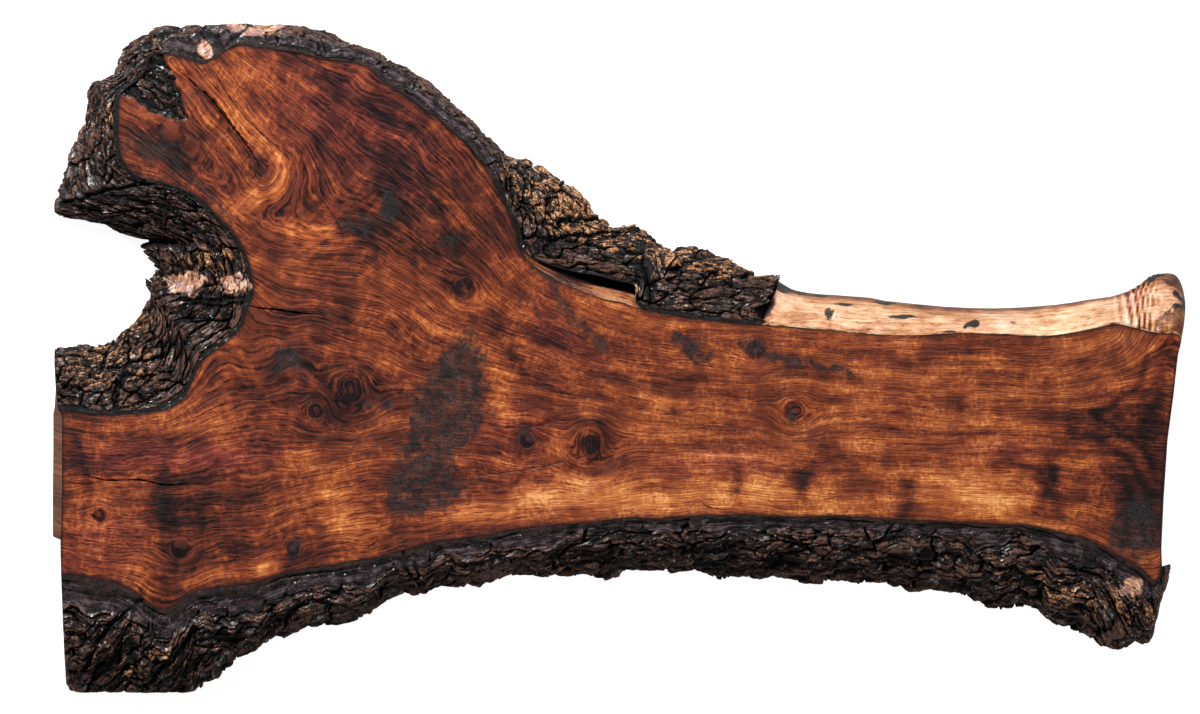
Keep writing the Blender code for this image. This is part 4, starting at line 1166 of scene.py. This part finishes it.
def sapwoodLook(x, y, drop):
    wideX, wideY = x + 3 * valueNoise(x / 8, y / 8, 93), y + 2 * valueNoise(x / 8, y / 8, 94)
    tone = 0.60 + 0.06 * layeredNoise(x, y, 40, 91) - 0.40 * smoothStep(drop, 0.42, 0.80)
    tone += spots(sapwoodTones, wideX, wideY) - 0.20 * smoothStep(-x, -700, -640)
    red = np.clip(0.2 + 0.4 * layeredNoise(x, y, 70, 92), 0, 0.6) + 0.5 * smoothStep(-x, -700, -640)
    red = np.maximum(red, spots(((1134, 300, 26, 18, 20, 0.9),), x, y))
    cut = insidePolygon(np.array(facet), wideX, wideY + 2 * valueNoise(x / 3, y / 3, 90))
    tone = np.where(cut, 0.25 + 0.10 * layeredNoise(x, y, 9, 89), tone - 0.03)
    return tone, np.where(cut, 0, red), spots(sapwoodMarks, wideX, wideY)


# The bark, three strips: a sawn rim level with the wood, then plated bark down to the floor.
barkPiece = {
    "relief": 0.010, "plateLength": 0.075, "plateWidth": 0.036, "plateWander": 0.050, "fissure": 0.45,
    "meanSwell": 0.62, "chip": 0.025, "tuck": 0.004, "least": 0.006, "sharp": 24,
    "ridgeRelief": 0.0080, "flakeRelief": 0.0030, "grit": 0.0003, "proud": 0.0026, "rimFlake": 0.0018,
    "lanes": 4, "rimRows": 16, "rimCrack": 0.0045,
}
# What differs from strip to strip. Turned: ovals where the ridges turn away, then the turn in degrees.
barkStrips = {
    "fork_bark": {
        "piece": "bark_at_fork", "stations": forkStations, "seed": 100, "step": 0.0017,
        "ridge": (0.044, 0.0190), "flake": (0.0120, 0.0060), "rimDip": 0.0020,
        "turned": ((110, 372, 62, 45, 0, 30), (88, 150, 34, 60, 0, -14)),
    },
    "crown_bark": {
        "piece": "bark_on_crown", "stations": crownStations, "seed": 200, "step": 0.0017,
        "ridge": (0.046, 0.0200), "flake": (0.0135, 0.0064), "rimDip": 0.0028,
        "turned": ((545, 190, 50, 40, -40, 12),),
    },
    "belly_bark": {
        "piece": "bark_on_belly", "stations": bellyStations, "seed": 300, "step": 0.00185,
        "ridge": (0.075, 0.0165), "flake": (0.0165, 0.0056), "rimDip": 0.0062,
        "turned": ((128, 655, 88, 50, 0, 50), (1128, 605, 40, 45, 0, -40)),
    },
}
rubSpots = (
    (610, 222, 100, 34, -28, 0.9), (550, 190, 62, 34, -40, 1.0), (590, 232, 60, 18, -16, 0.8),
    (700, 268, 66, 18, -12, 0.7), (100, 120, 18, 50, -72, 0.45), (105, 368, 48, 34, 20, 0.65),
    (207, 258, 38, 14, 0, 0.9), (140, 325, 40, 14, 20, 0.5), (140, 660, 80, 24, 0, 0.5),
    (1060, 590, 100, 20, -15, 0.6), (800, 560, 220, 12, 0, 0.35), (1140, 600, 26, 44, 0, 0.5),
    (300, 606, 80, 12, 12, 0.35), (560, 560, 90, 12, 5, 0.3), (160, 40, 60, 14, 25, 0.3),
    (150, 360, 50, 20, 20, 0.3),
)
bareSpots = (
    (186, 284, 26, 14, 0, 1.0), (236, 284, 20, 14, 0, 1.0), (205, 50, 10, 10, 0, 1.1),
    (255, 30, 33, 7, -6, 1.1), (1132, 586, 20, 14, -10, 0.7), (632, 293, 7, 9, 0, 0.9),
    (165, 38, 28, 5, 22, 0.45),
)
# Smooth places where the plates have come away, and deep clefts across the bark, painted black as shade in
# them.
calmSpots = (
    (110, 195, 60, 14, 5, 0.5), (170, 295, 20, 10, 0, 0.7), (648, 248, 12, 8, 0, 0.5),
    (395, 575, 120, 9, 8, 0.5), (1132, 586, 24, 16, -10, 0.9), (190, 284, 20, 9, 0, 0.9),
    (233, 287, 18, 8, 0, 0.9), (255, 30, 30, 6, -6, 0.7),
)
clefts = (
    ((200, 22), (210, 34), (220, 44), (229, 58)), ((180, 299), (220, 300), (262, 297)),
    ((195, 305), (225, 305), (250, 302)), ((126, 372), (120, 390), (117, 410)),
    ((140, 48), (160, 38), (182, 30)), ((540, 240), (580, 236), (620, 233)), ((560, 222), (600, 217)),
    ((400, 548), (405, 562), (410, 575)), ((228, 44), (255, 22), (275, 24)),
    ((62, 205), (110, 190), (158, 181)), ((98, 640), (125, 612), (140, 600)),
    ((140, 690), (175, 655), (196, 628)), ((640, 262), (652, 285), (648, 310)),
)
# Places where the bark is painted darker than elsewhere: painted shade, as on the notch's steep face and
# beside the lifted crown bark.
shadeSpots = (
    (135, 205, 90, 26, -10, 0.16), (76, 618, 36, 14, -10, 0.2), (238, 622, 34, 16, 25, 0.2),
    (641, 272, 11, 32, 0, 0.6), (100, 240, 20, 10, 0, 0.15), (150, 240, 24, 22, 0, 0.18),
    (560, 250, 60, 10, -10, 0.15), (1110, 575, 50, 14, -25, 0.12), (700, 535, 160, 12, 0, 0.06),
    (660, 305, 40, 12, 0, 0.2), (92, 100, 20, 40, -60, 0.05),
)


def barkPlates(along, across, seed):
    look = barkPiece
    wander = valueNoise(along / look["plateWander"], across / look["plateWander"], seed + 1)
    x = along / look["plateLength"] + 0.5 * wander
    wander = valueNoise(along / look["plateWander"], across / look["plateWander"], seed + 2)
    y = across / look["plateWidth"] + 0.7 * wander
    border, own, _ = cellNoise(x, y, seed)
    return np.clip(border / look["fissure"], 0, 1) ** 0.6 * (0.55 + 0.45 * own)


def barkRidges(node, along, across, turn, seed):
    # Long ridges and the angular flakes on them; both run along the strip, turned by so many degrees.
    look = barkStrips[node]
    turn = math.radians(turn)
    s, c = along * math.cos(turn) + across * math.sin(turn), across * math.cos(turn) - along * math.sin(turn)
    wanderX, wanderY = layeredNoise(s, c, 0.040, seed + 11, 2), layeredNoise(s, c, 0.040, seed + 12, 2)
    length, width = look["ridge"]
    border, own, tilt = cellNoise(s / length + 0.20 * wanderX, c / width + 0.50 * wanderY, seed + 13)
    groove = 1 - smoothStep(border, 0.0, 0.10)
    ridge = (1 - groove) * (0.50 + 0.50 * own) + 0.35 * tilt
    length, width = look["flake"]
    border, own, tilt = cellNoise(s / length + 0.25 * wanderY, c / width + 0.30 * wanderX, seed + 15)
    flake = 0.25 + smoothStep(border, 0.0, 0.08) * (0.25 + 0.45 * own) + 0.95 * tilt
    return ridge - 0.65 * groove, flake, own


def barkRelief(node, s, across, px, py, seed):
    values = barkRidges(node, s, across, 0, seed)
    for *oval, turn in barkStrips[node]["turned"]:
        share = spots(((*oval, 1.0),), px, py)
        if share.max() < 0.3:
            continue
        middle = (s * share).sum() / share.sum()
        share = smoothStep(share + 0.12 * valueNoise(px / 9, py / 9, seed + 25), 0.34, 0.46)
        turned = barkRidges(node, s - middle, across, turn, seed + 50)
        values = [old * (1 - share) + new * share for old, new in zip(values, turned)]
    return values


def cleftDepth(px, py, seed):
    wobbleX = 2.2 * valueNoise(px / 8, py / 8, seed + 27)
    wobbleY = 2.2 * valueNoise(px / 8, py / 8, seed + 28)
    depth = np.zeros(px.shape)
    for line in clefts:
        away = distanceToLine(line, px + wobbleX, py + wobbleY)[0]
        depth = np.maximum(depth, np.exp(-(away / 2.0) ** 2))
    return depth


def barkProfile(turn, rimShare, width):
    # From the rim (0) outwards and down to the floor (1), half straight and half a quarter circle.
    out = 0.5 * turn + 0.5 * np.sin(turn * np.pi / 2)
    drop = 0.5 * turn + 0.5 * (1 - np.cos(turn * np.pi / 2))
    distance = (rimShare[:, None] + (1 - rimShare[:, None]) * out) * width[:, None]
    return distance, top * (1 - (1 - slab["barkFoot"]) * drop)


def barkBody(node, route, rimShare):
    # The solid's own profile, read closely, then set out again in even steps along its length.
    look, own = barkPiece, barkStrips[node]
    seed, width = own["seed"], route["width"]
    turn = np.linspace(0, 1, 60)
    distance, height = barkProfile(turn, rimShare, width)
    height = height * np.ones_like(distance)
    length = np.hypot(np.diff(distance, axis=1), np.diff(height, axis=1))
    across = np.concatenate([np.zeros((len(width), 1)), np.cumsum(length, axis=1)], axis=1)
    rows = int(np.percentile(across[:, -1], 85) / own["step"])
    even = np.linspace(0, 1, rows)
    fine = np.array([np.interp(even * run[-1], run, turn) for run in across])
    across = even * across[:, -1:]
    distance, height = barkProfile(fine, rimShare, width)
    slopeOut, slopeDown = np.gradient(distance, axis=1), -np.gradient(height, axis=1)
    slope = np.hypot(slopeOut, slopeDown)

    s = route["along"][:, None] + 0 * across
    px, py = sketchPlace(route["wood"][:, None] + distance[..., None] * route["outward"][:, None])
    swell = barkPlates(s, across, seed)
    swell += 0.25 * valueNoise(s / look["chip"], across / look["chip"], seed + 5)
    ridge, flake, plate = barkRelief(node, s, across, px, py, seed)
    grit = layeredNoise(s, across * 1.4, 0.005, seed + 17)
    calm = 1 - np.clip(spots(calmSpots, px, py), 0, 0.92)
    cleft = cleftDepth(px, py, seed)
    begin = across + 0.010 * layeredNoise(s, across, 0.022, seed + 31)
    start = smoothStep(begin, -0.004, 0.008 if node == "belly_bark" else 0.003)
    push = look["relief"] * (swell - look["meanSwell"]) * np.clip(fine * 3, 0, 1)
    push += (look["ridgeRelief"] * (ridge - 0.50) + look["flakeRelief"] * (flake - 0.60)) * start * calm
    push += look["proud"] * smoothStep(fine, 0.0, 0.4) + look["grit"] * grit * start
    push -= 0.007 * cleft * smoothStep(fine, 0.0, 0.05)
    distance = distance + push * slopeDown / slope
    height = height - own["rimDip"] * (1 - smoothStep(fine, 0.0, 0.25))
    height = np.minimum(height + push * slopeOut / slope, top)
    side = slab["flare"] * width[:, None] * (1 - height / top)
    distance = np.maximum(distance, np.maximum(distance[:, :1], side + look["least"]))

    # Low relief is dark: the clefts and the shade spots are painted shade.
    relief = np.clip(0.30 * swell + 0.42 * ridge + 0.55 * flake, 0, 1.3) - 0.9 * cleft
    relief -= spots(shadeSpots, px, py)
    relief -= 0.3 * (1 - smoothStep(begin, -0.001, 0.0020)) * (node != "belly_bark") + 0.05
    rub = np.clip(spots(rubSpots, px, py), 0, 1) * (0.25 + 1.0 * plate)
    bareX = px + 5 * valueNoise(px / 8, py / 8, 33)
    bare = spots(bareSpots, bareX, py + 4 * valueNoise(px / 8, py / 8, 34))
    bare = smoothStep(bare + 0.25 * (flake - 0.6), 0.45, 0.53) * (1 - cleft) * smoothStep(flake, 0.20, 0.34)
    smooth = np.maximum(route["thin"] * (1 - smoothStep(begin, -0.003, 0.005)), (1 - calm) * 0.5)
    return distance, height, np.stack([relief, rub, bare], axis=-1), smooth


def barkRim(node, route, begins, ends, low):
    # Rows over the sawn rim: flat beside the wood, an open crack here and there, then a round shoulder. The
    # crack is painted dark as shade and the shoulder is painted lighter as a highlight.
    look, seed, rimDip = barkPiece, barkStrips[node]["seed"], barkStrips[node]["rimDip"]
    rimEven = np.linspace(0, 1, look["rimRows"])[:-1]
    rimDistance = begins + (ends - begins) * rimEven
    rimPlace = route["wood"][:, None] + rimDistance[..., None] * route["outward"][:, None]
    rimX, rimY = sketchPlace(rimPlace)
    rimAlong = route["along"][:, None] + 0 * rimDistance
    uneven = layeredNoise(rimAlong, rimDistance * 2.5, 0.016, seed + 19)
    away = np.abs(rimEven - 0.26 - 0.12 * valueNoise(rimAlong / 0.06, 0 * rimAlong, seed + 21))
    opened = np.clip(0.6 + 1.5 * valueNoise(rimAlong / 0.035, 0 * rimAlong, seed + 22), 0, 1)
    crack = opened * np.exp(-(away / 0.055) ** 2) * smoothStep(route["rimWidth"], 0.008, 0.02)[:, None]
    rimCleft = cleftDepth(rimX, rimY, seed)
    rimHeight = top - rimDip * smoothStep(rimEven, 0.15, 1.45) * 2.2 * (1 + 0.35 * uneven)
    rimHeight -= look["rimCrack"] * crack + 0.006 * rimCleft * smoothStep(rimEven, 0.0, 0.1)
    border, rimOwn, tilt = cellNoise(rimAlong / 0.014 + 0.5 * uneven,
                                     rimDistance / 0.0062 + 0.5 * uneven, seed + 35)
    rimFlake = smoothStep(border, 0.0, 0.14) * (0.4 + 0.6 * rimOwn) + 0.6 * tilt
    rimHeight -= look["rimFlake"] * (1 - rimFlake) * smoothStep(rimEven, 0.05, 0.35)
    rimHeight = np.clip(rimHeight, low, top)

    tornX = rimX + 3 * valueNoise(rimX / 7, rimY / 7, 31)
    torn = spots(bareSpots, tornX, rimY + 3 * valueNoise(rimX / 7, rimY / 7, 32))
    # Painted highlight along the shoulder; painted shade in the open cracks and clefts.
    opening, shoulderHighlight = np.maximum(rimCleft, crack), 0.48 * np.exp(-((rimEven - 0.68) / 0.2) ** 2)
    relief = (0.20 + 0.4 * rimFlake + shoulderHighlight) * route["thin"] - 0.9 * opening
    rub = (1 - smoothStep(away + 0.2 * (rimEven > 0.4), 0.0, 0.5)) * (rimEven < 0.4)
    bare = smoothStep(torn, 0.42, 0.56) * (1 - rimCleft)
    smooth = route["thin"] * (1 - opening) * (0.55 + 0.45 * rimFlake)
    return rimDistance, rimHeight, np.stack([relief, rub, bare], axis=-1), smooth


def closeStrip(name, rings, far, level, material):
    # A tube of rings with a cap at each end.
    count, size = rings.shape[:2]
    index = np.arange(count * size).reshape(count, size)
    here, there = index[:-1], index[1:]
    quads = np.stack([here, there, np.roll(there, -1, axis=1), np.roll(here, -1, axis=1)], axis=-1)
    faces = quads.reshape(-1, 4).tolist()
    faces += [index[0].tolist()[::-1], index[-1].tolist()]
    strip = makeObject(name, rings.reshape(-1, 3), faces, [material])
    u, v, wide, row = laneMap(count - 1, size, barkPiece["lanes"], (0.005, 0.06, 0.995, 0.995))
    corners = quadCorners(u, v, wide, row, ((0, 0), (1, 0), (1, 1), (0, 1)))
    caps = [np.stack([far[end] * 0.25 + 0.1 * (end + 2), level[end] * 0.4 + 0.005], axis=-1)
            for end in (0, -1)]
    setBakeMap(strip, np.concatenate([np.stack(corners, axis=2).reshape(-1, 2), caps[0][::-1], caps[1]]))
    if signedVolume(strip) < 0:
        strip.data.flip_normals()
    strip.data.set_sharp_from_angle(angle=math.radians(barkPiece["sharp"]))
    return strip


def makeBarkStrip(node, material, shift):
    look, own = barkPiece, barkStrips[node]
    wood, outer, along, shape = sampleStations(own["stations"], own["step"])
    reach = outer - wood
    width = np.linalg.norm(reach, axis=1)
    outward = reach / width[:, None]
    rimPart, lift = np.clip(shape.T, 0, 0.9)
    innerShare = lift + slab["seat"] / width
    rimPart = rimPart * (1 + 0.30 * layeredNoise(along, 0 * along, 0.045, own["seed"] + 29))
    if node != "belly_bark":
        rimPart = rimPart * smoothStep(rimPart, 0.25, 0.50)
    rimShare = innerShare + np.clip(rimPart, 0.012, 0.85) * (1 - innerShare)
    route = {"wood": wood, "outward": outward, "width": width, "along": along, "rimWidth": width * rimPart,
             "thin": smoothStep(width * rimPart, 0.004, 0.010)[:, None]}
    distance, height, bodyCrust, bodySmooth = barkBody(node, route, rimShare)
    rimDistance, rimHeight, rimCrust, rimSmooth = barkRim(
        node, route, (innerShare * width)[:, None], distance[:, :1], height[:, :1])

    innerLevel = np.array((0.0, 0.28, 0.62))
    inner = lift[:, None] * innerLevel + slab["flare"] * (1 - innerLevel)
    inner = inner * width[:, None] + slab["seat"]
    foot = np.maximum(distance[:, -1] - look["tuck"], slab["flare"] * width + slab["seat"] + look["tuck"])
    far = np.column_stack([inner, rimDistance, distance, foot])
    floor = np.zeros((len(far), 1))
    level = np.column_stack([floor + top * innerLevel, rimHeight, height, floor])
    rings = np.dstack([wood[:, None] + far[..., None] * outward[:, None], level])
    rings[..., :2] += shift
    if node == "crown_bark":
        rings = raggedEnd(rings, far[-1] / width[-1], own["seed"])
    rings = easeInside(rings)

    count, size = rings.shape[:2]
    first = len(innerLevel) + rimDistance.shape[1]
    rim = slice(len(innerLevel), first)
    crust = np.zeros((count, size, 3))
    crust[:, first:-1] = bodyCrust
    crust[:, :first] = crust[:, first:first + 1]
    crust[:, rim] = rimCrust
    strips = np.zeros((count, size, 3))
    strips[:, first:-1, 0] = bodySmooth
    strips[:, rim, 0] = rimSmooth
    strips[..., 1] = along[:, None]
    strips[..., 2] = far
    strip = closeStrip(own["piece"], rings, far, level, material)
    addValues(strip, "crust", crust.reshape(-1, 3))
    addValues(strip, "strip", strips.reshape(-1, 3))
    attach(strip, "root")
    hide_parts(node)
    print(own["piece"], "triangles", 2 * len(strip.data.polygons))


def easeInside(rings):
    # Bumps that would leave the CAD's box are pressed back gently, so that none ends in a flat.
    knee = 0.007
    for axis in (0, 1):
        for side, sign in ((0, -1), (1, 1)):
            past = sign * (rings[..., axis] - cadBox[side][axis]) + knee
            pressed = cadBox[side][axis] - sign * knee * np.exp(-np.maximum(past, 0) / knee)
            rings[..., axis] = np.where(past > 0, pressed, rings[..., axis])
    return np.clip(rings, np.array(cadBox[0]), np.array(cadBox[1]))


def raggedEnd(rings, share, seed):
    # The crown's bark is broken off: a block at the top, a hollow under it and a shard beside the wood.
    last = 30
    along = rings[-1, :, :2].mean(axis=0) - rings[-8, :, :2].mean(axis=0)
    along /= np.linalg.norm(along)
    reach = np.interp(share, (0, 0.10, 0.17, 0.36, 0.46, 1.0), (0.014, 0.011, -0.009, -0.012, 0.001, 0.004))
    reach += 0.004 * layeredNoise(np.arange(len(share)) / 7.0, np.zeros(len(share)), 1.0, seed + 41, 3)
    reach[:3] = 0
    grow = smoothStep(np.arange(last), 0, last - 1)[:, None]
    rings[-last:, :, :2] += (grow * reach)[..., None] * along
    return rings


def signedVolume(thing):
    mesh = thing.data
    mesh.calc_loop_triangles()
    points = np.empty(len(mesh.vertices) * 3)
    mesh.vertices.foreach_get("co", points)
    corners = np.empty(len(mesh.loop_triangles) * 3, np.int32)
    mesh.loop_triangles.foreach_get("vertices", corners)
    corners = points.reshape(-1, 3)[corners.reshape(-1, 3)]
    return float(np.linalg.det(corners).sum())


stretches = (
    ("fork", forkStations), ("crown", crownStations), ("sapwood", sapwoodStations),
    ("narrow", narrowEnd), ("belly", bellyStations), ("forked", forkedEnd),
)

shift = faceOutlineShift()
print("shift", shift)
setCamera(shift)
print("camera set")
setLights()
print("lights set")
layFloor()
print("floor laid")
grainGroup, crustGroup = makeWoodGrain(), makeCrust()
woodFinishes = [makeOiledFace(grainGroup, crustGroup), makeSapwood(grainGroup), makeSawnWood(grainGroup)]
barkFinish = makeBark(crustGroup)
print("finishes made")
makeWoodSlab(woodFinishes, shift)
for node in barkStrips:
    makeBarkStrip(node, barkFinish, shift)
